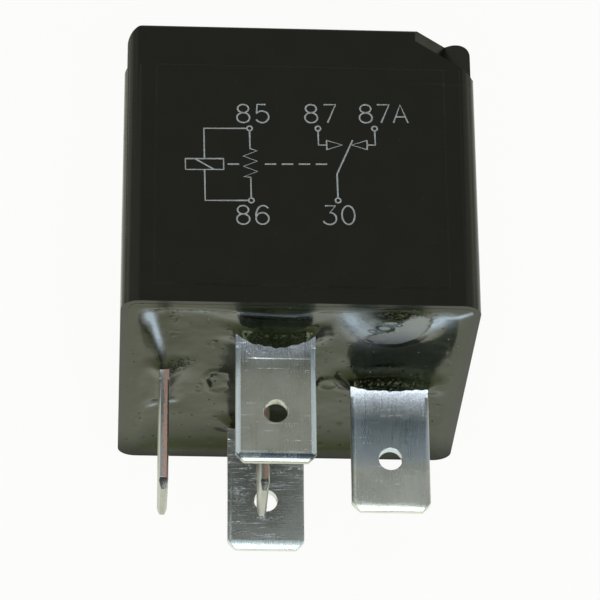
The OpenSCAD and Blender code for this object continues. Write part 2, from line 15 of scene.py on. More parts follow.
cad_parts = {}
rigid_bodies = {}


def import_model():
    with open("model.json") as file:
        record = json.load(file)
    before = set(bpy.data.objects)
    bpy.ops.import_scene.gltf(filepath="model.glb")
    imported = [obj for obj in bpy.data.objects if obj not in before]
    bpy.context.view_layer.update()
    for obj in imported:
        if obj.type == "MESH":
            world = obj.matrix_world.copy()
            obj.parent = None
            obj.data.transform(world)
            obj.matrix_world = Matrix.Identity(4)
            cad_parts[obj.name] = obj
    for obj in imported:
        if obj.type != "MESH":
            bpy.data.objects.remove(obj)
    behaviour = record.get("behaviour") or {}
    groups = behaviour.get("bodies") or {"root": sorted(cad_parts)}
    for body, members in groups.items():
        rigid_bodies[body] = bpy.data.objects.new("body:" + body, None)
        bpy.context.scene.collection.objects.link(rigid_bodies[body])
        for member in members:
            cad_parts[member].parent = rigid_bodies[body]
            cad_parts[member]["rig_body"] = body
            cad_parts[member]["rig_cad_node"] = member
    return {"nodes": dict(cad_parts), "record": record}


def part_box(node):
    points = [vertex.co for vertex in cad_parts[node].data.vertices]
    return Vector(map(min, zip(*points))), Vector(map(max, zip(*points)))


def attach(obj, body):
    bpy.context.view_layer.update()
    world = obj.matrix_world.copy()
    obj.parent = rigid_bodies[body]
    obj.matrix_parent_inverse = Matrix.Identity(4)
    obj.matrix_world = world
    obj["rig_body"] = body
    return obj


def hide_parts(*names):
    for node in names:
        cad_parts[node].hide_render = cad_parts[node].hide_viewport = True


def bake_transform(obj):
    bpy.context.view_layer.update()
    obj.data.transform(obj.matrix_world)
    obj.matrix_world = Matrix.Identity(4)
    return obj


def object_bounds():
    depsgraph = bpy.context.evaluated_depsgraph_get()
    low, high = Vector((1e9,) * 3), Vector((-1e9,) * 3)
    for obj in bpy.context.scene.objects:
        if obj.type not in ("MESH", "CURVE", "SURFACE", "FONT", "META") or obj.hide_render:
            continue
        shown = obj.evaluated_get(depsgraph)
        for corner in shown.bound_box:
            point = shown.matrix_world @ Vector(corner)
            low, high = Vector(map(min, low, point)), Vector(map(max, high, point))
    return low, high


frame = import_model()
cad_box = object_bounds()
MM = 0.001
print("CAD box in mm:", [[round(v / MM, 2) for v in corner] for corner in cad_box])

# %% [markdown]
# ## Places from the frame
# Places are read from the frame, so that nothing is fitted by eye. The record's mounts sit on the
# middle of each blade's tip.

# %% Read the places
cover_low, cover_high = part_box("cover")
RIM_Y = cover_low.y
LABEL_Z = cover_high.z
MIDDLE = (cover_low + cover_high) / 2
BLADE_W = 6.3 * MM
BLADE_T = 0.8 * MM
BLADES = {
    mount["name"].removeprefix("blade_"): Vector(mount["pos_m"])
    for mount in frame["record"]["mounts"]
    if mount["name"].startswith("blade_")
}
EDGE_ON = ("87", "87a")


def section(name):
    """A blade's sizes along x and z."""
    return (BLADE_T, BLADE_W) if name in EDGE_ON else (BLADE_W, BLADE_T)


print("Blades:", {name: [round(v / MM, 2) for v in tip] for name, tip in BLADES.items()})


# %% [markdown]
# ## Working by hand, without a window
# An operator acts on all that is selected, and loading leaves the solids selected. So each step first
# deselects everything, and then picks its own object.

# %% Helpers for objects
def nothing():
    """Leave edit mode and deselect everything."""
    if bpy.context.object and bpy.context.object.mode != "OBJECT":
        bpy.ops.object.mode_set(mode="OBJECT")
    bpy.ops.object.select_all(action="DESELECT")


def only(piece):
    """Select this piece alone and make it active, in object mode."""
    nothing()
    piece.select_set(True)
    bpy.context.view_layer.objects.active = piece


def edit_all(piece):
    only(piece)
    bpy.ops.object.mode_set(mode="EDIT")
    bpy.ops.mesh.select_all(action="SELECT")


def apply_modifier(piece, kind, **settings):
    only(piece)
    bpy.ops.object.modifier_add(type=kind)
    modifier = piece.modifiers[-1]
    for key, value in settings.items():
        setattr(modifier, key, value)
    bpy.ops.object.modifier_apply(modifier=modifier.name)


def apply_place():
    bpy.ops.object.transform_apply(location=True, rotation=True, scale=True)


def smooth(piece, degrees=35):
    only(piece)
    bpy.ops.object.shade_smooth_by_angle(angle=math.radians(degrees))


# %% [markdown]
# ## A finished copy of a solid
# A pressed or moulded piece has no knife edges, but a solid has. So a copy of the solid has its
# triangles merged and its flat faces joined, and a bevel rounds the sharp edges. A plate with many
# slots is tiled into triangles first, because one face with so many corners folds over in the bevel.

# %% Copy and settle a piece
MERGE = 0.001 * MM
FLAT = math.radians(0.3)


def finished_copy(node, name, edge, segments=2, degrees=28, tiled=False):
    only(frame["nodes"][node])
    bpy.ops.object.duplicate()
    piece = bpy.context.object
    bpy.ops.object.parent_clear(type="CLEAR_KEEP_TRANSFORM")
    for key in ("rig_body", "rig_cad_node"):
        del piece[key]
    piece.name = piece.data.name = name
    bpy.ops.mesh.customdata_custom_splitnormals_clear()
    edit_all(piece)
    bpy.ops.mesh.remove_doubles(threshold=MERGE)
    bpy.ops.mesh.dissolve_limited(angle_limit=FLAT)
    if tiled:
        bpy.ops.mesh.quads_convert_to_tris(quad_method="BEAUTY", ngon_method="BEAUTY")
    apply_modifier(
        piece, "BEVEL", width=edge * MM, segments=segments, limit_method="ANGLE",
        angle_limit=math.radians(degrees), miter_outer="MITER_ARC",
    )
    smooth(piece)
    apply_modifier(piece, "WEIGHTED_NORMAL", keep_sharp=True, weight=90)
    piece.data.materials.clear()
    return piece


def settle(piece, node, slot, *finishes, body="housing"):
    """Give a piece its finishes, hide the named solid, and let the piece ride on its body."""
    for finish in finishes:
        piece.data.materials.append(finish)
    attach(piece, body)
    if node:
        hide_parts(node)
    print(piece.name, len(piece.data.polygons), "faces")


# %% [markdown]
# ## Building a finish from nodes
# A finish is a Principled shader with a little tree of textures before it. Small helpers keep the
# trees short. Each finds its tree through the socket it is given. A number that is the same all over
# the surface goes straight onto the shader, so that an export keeps it.

# %% Helpers for nodes
def finish_of(name, **constants):
    """A new material, its shader with these constants, and Object coordinates."""
    material = bpy.data.materials.new(name)
    material.use_nodes = True
    shader = material.node_tree.nodes["Principled BSDF"]
    plug_in(shader, **constants)
    return material, shader, add(material.node_tree, "TexCoord").outputs["Object"]


def feed(socket, value):
    if isinstance(value, bpy.types.NodeSocket):
        socket.id_data.links.new(value, socket)
    else:
        socket.default_value = value


def add(beside, kind, **values):
    """A node of this kind, in the same tree. Values go to its sockets, or to its own settings."""
    node = beside.id_data.nodes.new("ShaderNode" + kind)
    for key, value in values.items():
        socket = node.inputs.get(key.replace("_", " "))
        if socket is None:
            setattr(node, key, value)
        else:
            feed(socket, value)
    return node


def plug_in(node, **values):
    for key, value in values.items():
        feed(node.inputs[key.replace("_", " ")], value)


# %% Helpers for sums and colours
def sums(operation, value, *others):
    """A chain of Math nodes, such as a product of many factors."""
    for other in others or (0.0,):
        node = add(value, "Math", operation=operation)
        feed(node.inputs[0], value)
        feed(node.inputs[1], other)
        value = node.outputs["Value"]
    return value


def plus(*terms):
    return sums("ADD", *terms)


def minus(value, other):
    return sums("SUBTRACT", value, other)


def times(*factors):
    return sums("MULTIPLY", *factors)


def largest(*values):
    return sums("MAXIMUM", *values)


def shaken(value, texture, reach):
    """A value moved up and down by a texture, which is 0.5 on average."""
    return plus(value, times(minus(texture, 0.5), reach))


def spread(value, low, high, to_low=0.0, to_high=1.0):
    """Map a value from one range to another, and hold it there."""
    limits = {"From_Min": low, "From_Max": high, "To_Min": to_low, "To_Max": to_high}
    return add(value, "MapRange", Value=value, **limits).outputs["Result"]


def blend(share, first, second):
    node = add(share, "Mix", data_type="RGBA")
    feed(node.inputs[0], share)
    for socket, colour in ((node.inputs[6], first), (node.inputs[7], second)):
        feed(socket, (*colour, 1) if isinstance(colour, tuple) else colour)
    return node.outputs[2]


# %% [markdown]
# Textures stand on Object coordinates, which stay with the piece when it moves, and their sizes are
# in millimetres. A texture that is stretched far more one way than the other turns from blotches into
# lines.

# %% Helpers for textures
def mapped(place, **settings):
    return add(place, "Mapping", Vector=place, **settings).outputs["Vector"]


def axis_of(vector, axis):
    return add(vector, "SeparateXYZ", Vector=vector).outputs[axis]


def cloud(place, size, detail=3.0):
    """Soft noise with blotches of about this size, in millimetres."""
    return add(place, "TexNoise", Vector=place, Scale=1 / (size * MM), Detail=detail).outputs["Fac"]


def lines_along(place, stretch, detail, **turn):
    """Noise with so many marks per metre along x, y and z."""
    return cloud(mapped(place, Scale=stretch, **turn), 1 / MM, detail)


def dots(place, size, radius):
    """Scattered round spots, one in each cell of this size."""
    cells = add(place, "TexVoronoi", Vector=place, Scale=1 / (size * MM))
    return spread(cells.outputs["Distance"], radius, radius * 0.6)


def painted(place, name):
    """A mask that the mesh carries on its points."""
    return add(place, "Attribute", attribute_name=name).outputs["Fac"]


def relief(shader, height, depth, under=None):
    """Bump of this depth in millimetres, over another bump."""
    bump = add(shader, "Bump", Height=height, Distance=depth * MM, Strength=1.0)
    if under:
        plug_in(bump, Normal=under)
    plug_in(shader, Normal=bump.outputs["Normal"])
    return bump.outputs["Normal"]


# %% [markdown]
# ## Black moulded plastic
# The cover is satin black with a faint olive cast. A fine grain in the bump breaks the gloss and a
# slow cloud varies it. Handling leaves scuffs, rubbed patches and dust, strong on the sides and faint
# on the label face, so the direction of the surface sets their share. Along the rim a film of epoxy
# wets it.

# %% Marks of handling
SCUFF_STRETCH = (60, 2200, 60)
SCUFF_TURN = math.radians(8)


def handling_marks(place, slow, grain):
    facing = axis_of(add(place, "TexCoord").outputs["Normal"], "Z")
    side = spread(sums("ABSOLUTE", facing), 0.9, 0.5)
    drawn = lines_along(place, SCUFF_STRETCH, 2, Rotation=(0, 0, SCUFF_TURN))
    scuff = spread(plus(drawn, times(side, 0.09)), 0.70, 0.78)
    patchy = spread(cloud(place, 5), 0.5, 0.62)
    scuff = times(scuff, patchy, spread(side, 0, 1, 0.04, 0.5))
    rubbed = times(spread(slow, 0.4, 0.7), grain, side, 0.3)
    dust = times(dots(place, 1.3, 0.055), spread(side, 0, 1, 0.1, 0.7))
    return largest(scuff, dust, rubbed)


# %% Finishes of the cover and the header
EPOXY_DARK, EPOXY_LIGHT = (0.002, 0.003, 0.001), (0.013, 0.016, 0.008)
BLACK_DARK, BLACK_LIGHT = (0.003, 0.0031, 0.0022), (0.005, 0.0051, 0.0037)
EDGE_DARK, EDGE_LIGHT = (0.008, 0.008, 0.0065), (0.03, 0.03, 0.026)
HEADER_DARK, HEADER_LIGHT = (0.009, 0.009, 0.009), (0.014, 0.014, 0.013)
DUST = (0.13, 0.13, 0.12)
WET_RIM = RIM_Y + 0.14 * MM
WET_GLOSS = 0.2


def moulded_black(name, dark, light, rough_low, rough_high, wet_below=None):
    """Satin black, wetted by a film of epoxy below a height along y."""
    material, shader, place = finish_of(name, IOR=1.49, Specular_Tint=(1.0, 1.0, 0.79, 1))
    slow = cloud(place, 2.6, 4)
    grain = cloud(place, 0.11, 2)
    marks = handling_marks(place, slow, grain)
    colour = blend(marks, blend(slow, dark, light), DUST)
    gloss = plus(spread(slow, 0.3, 0.7, rough_low, rough_high), times(marks, 0.2))
    if wet_below is not None:
        ragged = plus(axis_of(place, "Y"), times(slow, 0.1 * MM))
        wet = spread(ragged, wet_below, wet_below - 0.04 * MM)
        colour = blend(wet, colour, blend(slow, EPOXY_DARK, EPOXY_LIGHT))
        gloss = add(wet, "Mix", Factor=wet, A=gloss, B=WET_GLOSS).outputs["Result"]
    plug_in(shader, Base_Color=colour, Roughness=gloss)
    relief(shader, grain, 0.003)
    return material


cover_black = moulded_black("cover_black", BLACK_DARK, BLACK_LIGHT, 0.15, 0.27, wet_below=WET_RIM)
cover_step = moulded_black("cover_step", BLACK_DARK, BLACK_LIGHT, 0.6, 0.75)
cover_edge = moulded_black("cover_edge", EDGE_DARK, EDGE_LIGHT, 0.25, 0.4, wet_below=WET_RIM)
header_black = moulded_black("header_black", HEADER_DARK, HEADER_LIGHT, 0.42, 0.55)
print("Finishes so far:", len(bpy.data.materials))

# %% [markdown]
# ## The cover
# The solid has the cover's true form, with its band, panel and key notch. The copy's faces are sorted
# by place and normal: the slanted step round the label panel came dull from the mould, and the narrow
# rounds along the edges are worn paler.

# %% Cover
WORN_EDGE = 0.1 * MM
WORN_TILT = 0.25
STEP_DEPTH = 0.2 * MM
STEP_HALF_W = 11.8 * MM
STEP_ABOVE_RIM = 1 * MM
STEP_SLANT = 0.3, 0.97


def strip_width(mesh, face):
    """The mean width of a long narrow face."""
    rim = sum((mesh.vertices[a].co - mesh.vertices[b].co).length for a, b in face.edge_keys)
    return 2 * face.area / rim


def on_panel_step(face):
    x, y, z = face.center
    within = abs(x) < STEP_HALF_W and y > RIM_Y + STEP_ABOVE_RIM and z > LABEL_Z - STEP_DEPTH
    return within and STEP_SLANT[0] < face.normal.z < STEP_SLANT[1]


cover = finished_copy("cover", "cover_shell", 0.15, segments=3, degrees=50)
for face in cover.data.polygons:
    is_edge = strip_width(cover.data, face) < WORN_EDGE and abs(face.normal.y) > WORN_TILT
    face.material_index = 1 if on_panel_step(face) else 2 if is_edge else 0
settle(cover, "cover", "cover_plastic", cover_black, cover_step, cover_edge)

# %% [markdown]
# ## Printed circuit and terminal numbers
# The label carries a printed circuit with the terminals' numbers: a coil with a resistor across it,
# and a changeover switch. It is line work of one width, so each stroke is a row of points that a pen
# follows, in millimetres from the middle of the label.

# %% Strokes of the coil's circuit
UPPER_Y, LOWER_Y, AXIS_Y = 3.01, -3.50, -0.235
COIL_X, RESISTOR_X, MAKE_X, BREAK_X, COMMON_X = -7.62, -4.01, 1.41, 5.91, 2.79
TERMINAL_R = 0.21


def coil_strokes():
    half_w, half_h, slant = 1.5, 0.49, 0.75
    top, bottom = AXIS_Y + half_h, AXIS_Y - half_h
    left, right = COIL_X - half_w, COIL_X + half_w
    lead = RESISTOR_X - TERMINAL_R
    return [
        [(lead, UPPER_Y), (COIL_X, UPPER_Y), (COIL_X, top)],
        [(left, top), (right, top), (right, bottom), (left, bottom), (left, top), (right, top)],
        [(COIL_X - slant, top), (COIL_X + slant, bottom)],
        [(COIL_X, bottom), (COIL_X, LOWER_Y), (lead, LOWER_Y)],
    ]


def resistor_stroke():
    swing, pitch = 0.545, 0.465
    zigzag = [(RESISTOR_X + swing * (-1) ** i, 0.96 - pitch * i) for i in range(6)]
    upper = [(RESISTOR_X, UPPER_Y - TERMINAL_R), (RESISTOR_X, 1.18)]
    return [*upper, *zigzag, (RESISTOR_X, -1.43), (RESISTOR_X, LOWER_Y + TERMINAL_R)]


strokes = [*coil_strokes(), resistor_stroke()]
print("Coil and resistor:", len(strokes), "strokes")


# %% Strokes of the switch
DASH_L, DASH_PITCH = 0.9, 1.34


def arc(x, y, rx, ry, start, end, steps=20):
    """Points on an ellipse between two angles, in degrees."""
    angles = [math.radians(start + (end - start) * i / steps) for i in range(steps + 1)]
    return [(x + rx * math.cos(a), y + ry * math.sin(a)) for a in angles]


def arrow_strokes(x, towards):
    """A fixed contact: a lead from its terminal and a hollow arrow head."""
    y, half_h, run, head = 1.505, 0.42, 0.65, 1.24
    base = x + towards * run
    triangle = [(base, y + half_h), (base, y - half_h), (base + towards * head, y)]
    return [[(x, UPPER_Y - TERMINAL_R), (x, y), (base, y)], [*triangle, *triangle[:2]]]


dash_starts = [-5.8] + [-2.88 + DASH_PITCH * i for i in range(4)]
strokes += [[(x, AXIS_Y), (x + DASH_L, AXIS_Y)] for x in dash_starts]
strokes += arrow_strokes(MAKE_X, 1) + arrow_strokes(BREAK_X, -1)
strokes.append([(4.12, 1.95), (COMMON_X, -1.12), (COMMON_X, LOWER_Y + TERMINAL_R)])
terminals = [(x, UPPER_Y) for x in (RESISTOR_X, MAKE_X, BREAK_X)]
terminals += [(x, LOWER_Y) for x in (RESISTOR_X, COMMON_X)]
strokes += [arc(x, y, TERMINAL_R, TERMINAL_R, 0, 375) for x, y in terminals]
print("Circuit:", len(strokes), "strokes")

# %% [markdown]
# The numbers are drawn with the same pen. Each sign is a few strokes in a box one unit wide and one
# unit high, made of straight lines and parts of ellipses.

# %% Strokes of the numbers
SIGNS = {
    "0": [arc(0.5, 0.5, 0.5, 0.5, 0, 375, 28)],
    "3": [[(0.12, 1), (0.93, 1), (0.48, 0.63), *arc(0.44, 0.32, 0.54, 0.32, 80, -155)]],
    "5": [[(0.78, 1), (0.1, 1), (0.05, 0.53), *arc(0.47, 0.32, 0.53, 0.32, 142, -152)]],
    "6": [[*arc(0.58, 0.45, 0.58, 0.55, 48, 180, 12), *arc(0.5, 0.31, 0.5, 0.31, 170, -190, 26)]],
    "7": [[(0.02, 1), (0.98, 1), (0.3, 0)]],
    "8": [arc(0.5, 0.775, 0.43, 0.225, -90, 285, 26), arc(0.5, 0.275, 0.5, 0.275, 90, 465, 26)],
    "A": [[(0, 0), (0.58, 1), (1.16, 0)], [(0.22, 0.33), (0.94, 0.33)]],
}
SIGN_H = 1.66
NUMBERS = [
    ("85", (-4.98, -3.46), 3.54), ("86", (-5.18, -3.68), -5.62), ("87", (0.41, 1.90), 3.54),
    ("87A", (4.75, 6.16, 7.44), 3.54), ("30", (1.63, 3.05), -5.64),
]

for text, places, y in NUMBERS:
    for sign, x in zip(text, places):
        strokes += [[(x + u, y + v * SIGN_H) for u, v in stroke] for stroke in SIGNS[sign]]
print("Circuit and numbers:", len(strokes), "strokes")

# %% [markdown]
# ## Ink on the label
# Pad-printed ink is a thin, dull film. A curve with a round bevel follows every stroke, is made a
# mesh and pressed flat on the panel, turned a little as the pad left it. Text objects would need a
# font, and strokes give the even pen of the real print. A fine cloud thins the ink, as worn print
# looks.

# %% Pen strokes
INK_W = 0.128
pen = bpy.data.curves.new("label_print", "CURVE")
pen.dimensions = "3D"
pen.bevel_depth = INK_W / 2
pen.bevel_resolution = 2
pen.use_fill_caps = True
for stroke in strokes:
    line = pen.splines.new("POLY")
    line.points.add(len(stroke) - 1)
    for point, (x, y) in zip(line.points, stroke):
        point.co = (x, y, 0, 1)
print("Pen:", INK_W, "mm wide,", len(pen.splines), "lines")


# %% Print on the label
INK_THIN, INK_FULL = (0.28, 0.288, 0.278), (0.42, 0.434, 0.416)
INK_FLATNESS = 0.08
PRINT_TURN = math.radians(1.25)


def printed_ink():
    material, shader, place = finish_of("printed_ink", IOR=1.45)
    worn = spread(cloud(place, 0.25), 0.35, 0.65)
    colour = blend(worn, INK_THIN, INK_FULL)
    plug_in(shader, Base_Color=colour, Roughness=spread(worn, 0, 1, 0.62, 0.45))
    return material


label_print = bpy.data.objects.new("label_print", pen)
bpy.context.scene.collection.objects.link(label_print)
only(label_print)
bpy.ops.object.convert(target="MESH")
label_print = bpy.context.object
label_print.scale = (MM, MM, MM * INK_FLATNESS)
label_print.rotation_euler = (0, 0, PRINT_TURN)
label_print.location = (MIDDLE.x, MIDDLE.y, LABEL_Z)
apply_place()
smooth(label_print, 60)
label_print.data.materials.clear()
settle(label_print, None, "cover_plastic", printed_ink())

# %% [markdown]
# ## Potting compound
# The open end is filled with black epoxy that set with a wet gloss. It climbs the walls and the
# blades in hollow fillets, stands in mounds, and is marked by bubbles. Such a surface is free, so a
# height function raises a fine grid, with a part for each cause. Measures are in millimetres, x
# across and z up.

# %% Measures of the pool
seal_low, seal_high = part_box("seal")
POOL_W = (seal_high.x - seal_low.x) / MM
POOL_D = (seal_high.z - seal_low.z) / MM
POOL_RECESS = 0.6
POOL_BOTTOM = seal_high.y
POOL_CORNER_R = 0.48
POOL_CELL = 0.11
LIP, LIP_FILM = 0.4, 0.012
RIM_H = POOL_RECESS + LIP_FILM
print("Pool:", round(POOL_W, 2), "x", round(POOL_D, 2), "mm")


# %% [markdown]
# The walls draw the epoxy up in a hollow curve, and it sags a little along the lower wall. At a blade
# it climbs higher: rise is the height at the blade's middle, dip the share that is lost towards its
# corners, and reach how far the fillet runs out.

# %% Walls and blades
SIDE_REACH, LOW_REACH, TOP_REACH = 1.7, 1.35, 1.3
LOW_DIP, LOW_DIP_AT, LOW_DIP_REACH = 0.03, 1.1, 0.9
FILLETS = {
    "30": (1.2, 0.3, 2.3), "85": (1.7, 0.64, 2.5), "86": (1.0, 0.35, 2.0),
    "87": (0.6, 0.3, 1.9), "87a": (0.6, 0.3, 1.8),
}
FILLET_POWER = 2.4


def hollow_at_walls(side, low, top):
    """Height by the distance from the walls."""
    level = 1.0
    for gap, reach in ((side, SIDE_REACH), (low, LOW_REACH), (top, TOP_REACH)):
        level = level * (1 - np.exp(-(np.maximum(gap, 0) / reach) ** 2))
    return RIM_H * (1 - level) - LOW_DIP * np.exp(-((low - LOW_DIP_AT) / LOW_DIP_REACH) ** 2)


def beyond(x, z, middle, half_w, half_d):
    """Distance outside a rectangle, and 0 inside it."""
    off_x, off_z = abs(x - middle[0]) - half_w, abs(z - middle[1]) - half_d
    return np.hypot(np.maximum(off_x, 0), np.maximum(off_z, 0))


def climb_blades(height, x, z):
    for name, (rise, dip, reach) in FILLETS.items():
        middle = BLADES[name].x / MM, BLADES[name].z / MM
        gap = beyond(x, z, middle, *(size / 2 / MM for size in section(name)))
        along = (z - middle[1] if name in EDGE_ON else x - middle[0]) / (BLADE_W / 2 / MM)
        waves = 1 + 0.05 * np.sin(x * 5.1 + z) * np.sin(x * 2.3)
        crest = rise * (1 - dip * np.minimum(along ** 2, 1.1)) * waves
        height = np.maximum(height, 0) + crest * np.maximum(1 - gap / reach, 0) ** FILLET_POWER
    return height


print("Fillets:", {name: fillet[0] for name, fillet in FILLETS.items()}, "mm high")


# %% [markdown]
# The epoxy was poured before the common blade and stands there in a mound, and a ridge runs from the
# make blade to the corner. A burst bubble leaves a hollow with a raised, broken rim. Pimples and
# froth never burst. They come from a seeded draw, the same on every run.

# %% Mounds and bubbles
HEAPS = [(7.2, 24.2, 3.1, 3.3, 1.0), (-2.0, 25.6, 4.0, 1.8, 0.4)]
RIDGE_FROM, RIDGE_TO, RIDGE_REACH, RIDGE_H = (-10.4, 17.1), (-11.2, 26.4), (1.4, 2.8), 0.45
CRATERS = [
    (-6.0, 13.4, 0.95, 2.1), (2.95, 13.2, 0.75, 1.1), (6.6, 22.6, 0.5, 0.6), (7.3, 24.4, 0.4, 0.5),
]
CRATER_RIM, CRATER_DEPTH = 0.13, 0.07
FROTHS = [
    (-9.7, 24.0, 0.3, 2.8, 30), (-8.0, 26.2, 1.6, 0.35, 26), (8.3, 26.8, 2.5, 0.5, 50),
    (-1.8, 23.05, 2.7, 0.3, 34), (7.8, 14.6, 2.8, 0.35, 34), (-9.3, 16.9, 1.3, 0.9, 20),
    (10.6, 25.6, 0.4, 0.9, 10),
]
PIMPLE_H, FROTH_H = 0.07, 0.025


def scattered(seed, patches, radii):
    """Places and radii of bubbles in patches with a middle, half sizes and a count."""
    draw = random.Random(seed)
    return [
        (px + draw.uniform(-half_w, half_w), pz + draw.uniform(-half_d, half_d), draw.uniform(*radii))
        for px, pz, half_w, half_d, count in patches
        for _ in range(count)
    ]


pimples = scattered(9, [(0, 1 + POOL_D / 2, POOL_W / 2, POOL_D / 2, 60)], (0.1, 0.24))
froth = scattered(4, FROTHS, (0.09, 0.15))


def raise_mounds(height, x, z):
    for hx, hz, half_w, half_d, rise in HEAPS:
        height += rise * np.exp(-(((x - hx) / half_w) ** 2 + ((z - hz) / half_d) ** 2) ** 2)
    (ax, az), (bx, bz) = RIDGE_FROM, RIDGE_TO
    run_x, run_z = bx - ax, bz - az
    run = np.clip(((x - ax) * run_x + (z - az) * run_z) / (run_x ** 2 + run_z ** 2), 0, 1)
    off_x, off_z = x - ax - run * run_x, z - az - run * run_z
    reach = np.where(off_x < 0, *RIDGE_REACH)
    return height + RIDGE_H * (1 - run) * np.exp(-(np.hypot(off_x, off_z) / reach) ** 2)


def burst_bubbles(height, x, z, quick):
    for cx, cz, half_w, half_d in CRATERS:
        out = np.hypot((x - cx) / half_w, (z - cz) / half_d) + 0.3 * quick
        rim = CRATER_RIM * (0.55 - 0.45 * np.tanh((x - cx) / half_w + (cz - z) / half_d))
        height += rim * np.exp(-((out - 1) / 0.2) ** 2) - CRATER_DEPTH * np.exp(-(out / 0.75) ** 4)
    for places, rise in ((pimples, PIMPLE_H), (froth, FROTH_H)):
        for px, pz, radius in places:
            height += rise * np.exp(-(np.hypot(x - px, z - pz) / radius) ** 2)
    return height


print("Bubbles:", len(CRATERS), "burst,", len(pimples), "pimples,", len(froth), "in froth")

# %% Height of the pool
SLOW_SIZE, SLOW_H = 3.2, 0.09
QUICK_SIZE, QUICK_H = 0.9, 0.018
RIM_BLEND = 0.9


def pool_height(x, z):
    up = z - MIDDLE.z / MM
    side, low, top = POOL_W / 2 - abs(x), POOL_D / 2 + up, POOL_D / 2 - up
    slow = np.array([noise.noise((a / SLOW_SIZE, b / SLOW_SIZE, 0.5)) for a, b in zip(x, z)])
    quick = np.array([noise.noise((a / QUICK_SIZE, b / QUICK_SIZE, 7.5)) for a, b in zip(x, z)])
    height = climb_blades(hollow_at_walls(side, low, top), x, z)
    height = burst_bubbles(raise_mounds(height, x, z), x, z, quick)
    height += SLOW_H * slow + QUICK_H * quick
    inside = np.clip(np.minimum(side, np.minimum(low, top)) / RIM_BLEND, 0, 1)
    share = inside * inside * (3 - 2 * inside)
    return RIM_H * (1 - share) + height * share


# %% [markdown]
# ## The potting's mesh
# A grid gets the size of the pool and of a narrow lip over the cover's rim. Its corners are pulled in
# to a round, and the height function raises every point. A sheet could be sculpted too, but a
# function gives the same surface on every run.

# %% Potting sheet
nothing()
SHEET_W, SHEET_D = POOL_W + 2 * LIP, POOL_D + 2 * LIP
bpy.ops.mesh.primitive_grid_add(
    x_subdivisions=round(SHEET_W / POOL_CELL), y_subdivisions=round(SHEET_D / POOL_CELL), size=1
)
potting = bpy.context.object
potting.name = potting.data.name = "potting"
potting.scale = (SHEET_W, SHEET_D, 1)
bpy.ops.object.transform_apply(location=False, rotation=False, scale=True)


def points_of(piece):
    points = np.empty(len(piece.data.vertices) * 3)
    piece.data.vertices.foreach_get("co", points)
    return points.reshape(-1, 3)


points = points_of(potting)
corner_r = POOL_CORNER_R + LIP
inner = np.array([SHEET_W / 2 - corner_r, SHEET_D / 2 - corner_r])
out = np.maximum(abs(points[:, :2]) - inner, 0)
reach = np.maximum(np.hypot(out[:, 0], out[:, 1]), 1e-9)
pull = np.where((out.min(axis=1) > 0) & (reach > corner_r), corner_r / reach, 1)[:, None]
points[:, :2] = np.sign(points[:, :2]) * (np.minimum(abs(points[:, :2]), inner) + out * pull)
points[:, 2] = pool_height(points[:, 0], points[:, 1] + MIDDLE.z / MM)
potting.data.vertices.foreach_set("co", points.ravel())
print("Potting: up to", points[:, 2].max().round(2), "mm high")

# %% [markdown]
# The sheet's rim lies on the cover's rim. It is extruded and drawn in to the wall, then extruded down
# to the header and closed by one face, so that the potting has a volume. Then it is turned up to
# stand in the cover's open end.

# %% Close the potting into a block
only(potting)
bpy.ops.object.mode_set(mode="EDIT")
bpy.ops.mesh.select_mode(type="EDGE")
bpy.ops.mesh.select_all(action="DESELECT")
bpy.ops.mesh.select_non_manifold()
bpy.ops.mesh.extrude_edges_move(TRANSFORM_OT_translate={"value": (0, 0, -LIP_FILM)})
bpy.ops.transform.resize(value=(POOL_W / SHEET_W, POOL_D / SHEET_D, 1))
depth = (POOL_BOTTOM - RIM_Y) / MM
bpy.ops.mesh.extrude_edges_move(TRANSFORM_OT_translate={"value": (0, 0, -depth)})
bpy.ops.mesh.edge_face_add()
bpy.ops.object.mode_set(mode="OBJECT")
potting.scale = (MM, MM, MM)
potting.rotation_euler = (math.pi / 2, 0, 0)
potting.location = (0, RIM_Y + POOL_RECESS * MM, MIDDLE.z)
apply_place()
print("Potting block:", round(depth, 2), "mm deep behind the rim")

# %% [markdown]
# The blades pass through the epoxy. Five blocks of a blade's section are joined into one cutter,
# and a Boolean takes it out of the potting, so that the fillets end exactly on the tin.

# %% Cut the blades' slots through the potting
CUT_L = 8 * MM
cutters = []
for name, tip in BLADES.items():
    nothing()
    bpy.ops.mesh.primitive_cube_add(size=1, location=(tip.x, POOL_BOTTOM, tip.z))
    cutter = bpy.context.object
    cutter.scale.xz, cutter.scale.y = section(name), CUT_L
    apply_place()
    cutters.append(cutter)
only(cutters[0])
for cutter in cutters:
    cutter.select_set(True)
bpy.ops.object.join()
slots = bpy.context.object
edit_all(potting)
bpy.ops.mesh.normals_make_consistent(inside=False)
apply_modifier(potting, "BOOLEAN", operation="DIFFERENCE", object=slots, solver="MANIFOLD")
only(slots)
bpy.ops.object.delete()
smooth(potting, 60)
potting.data.materials.clear()
print("Slots cut:", len(cutters))
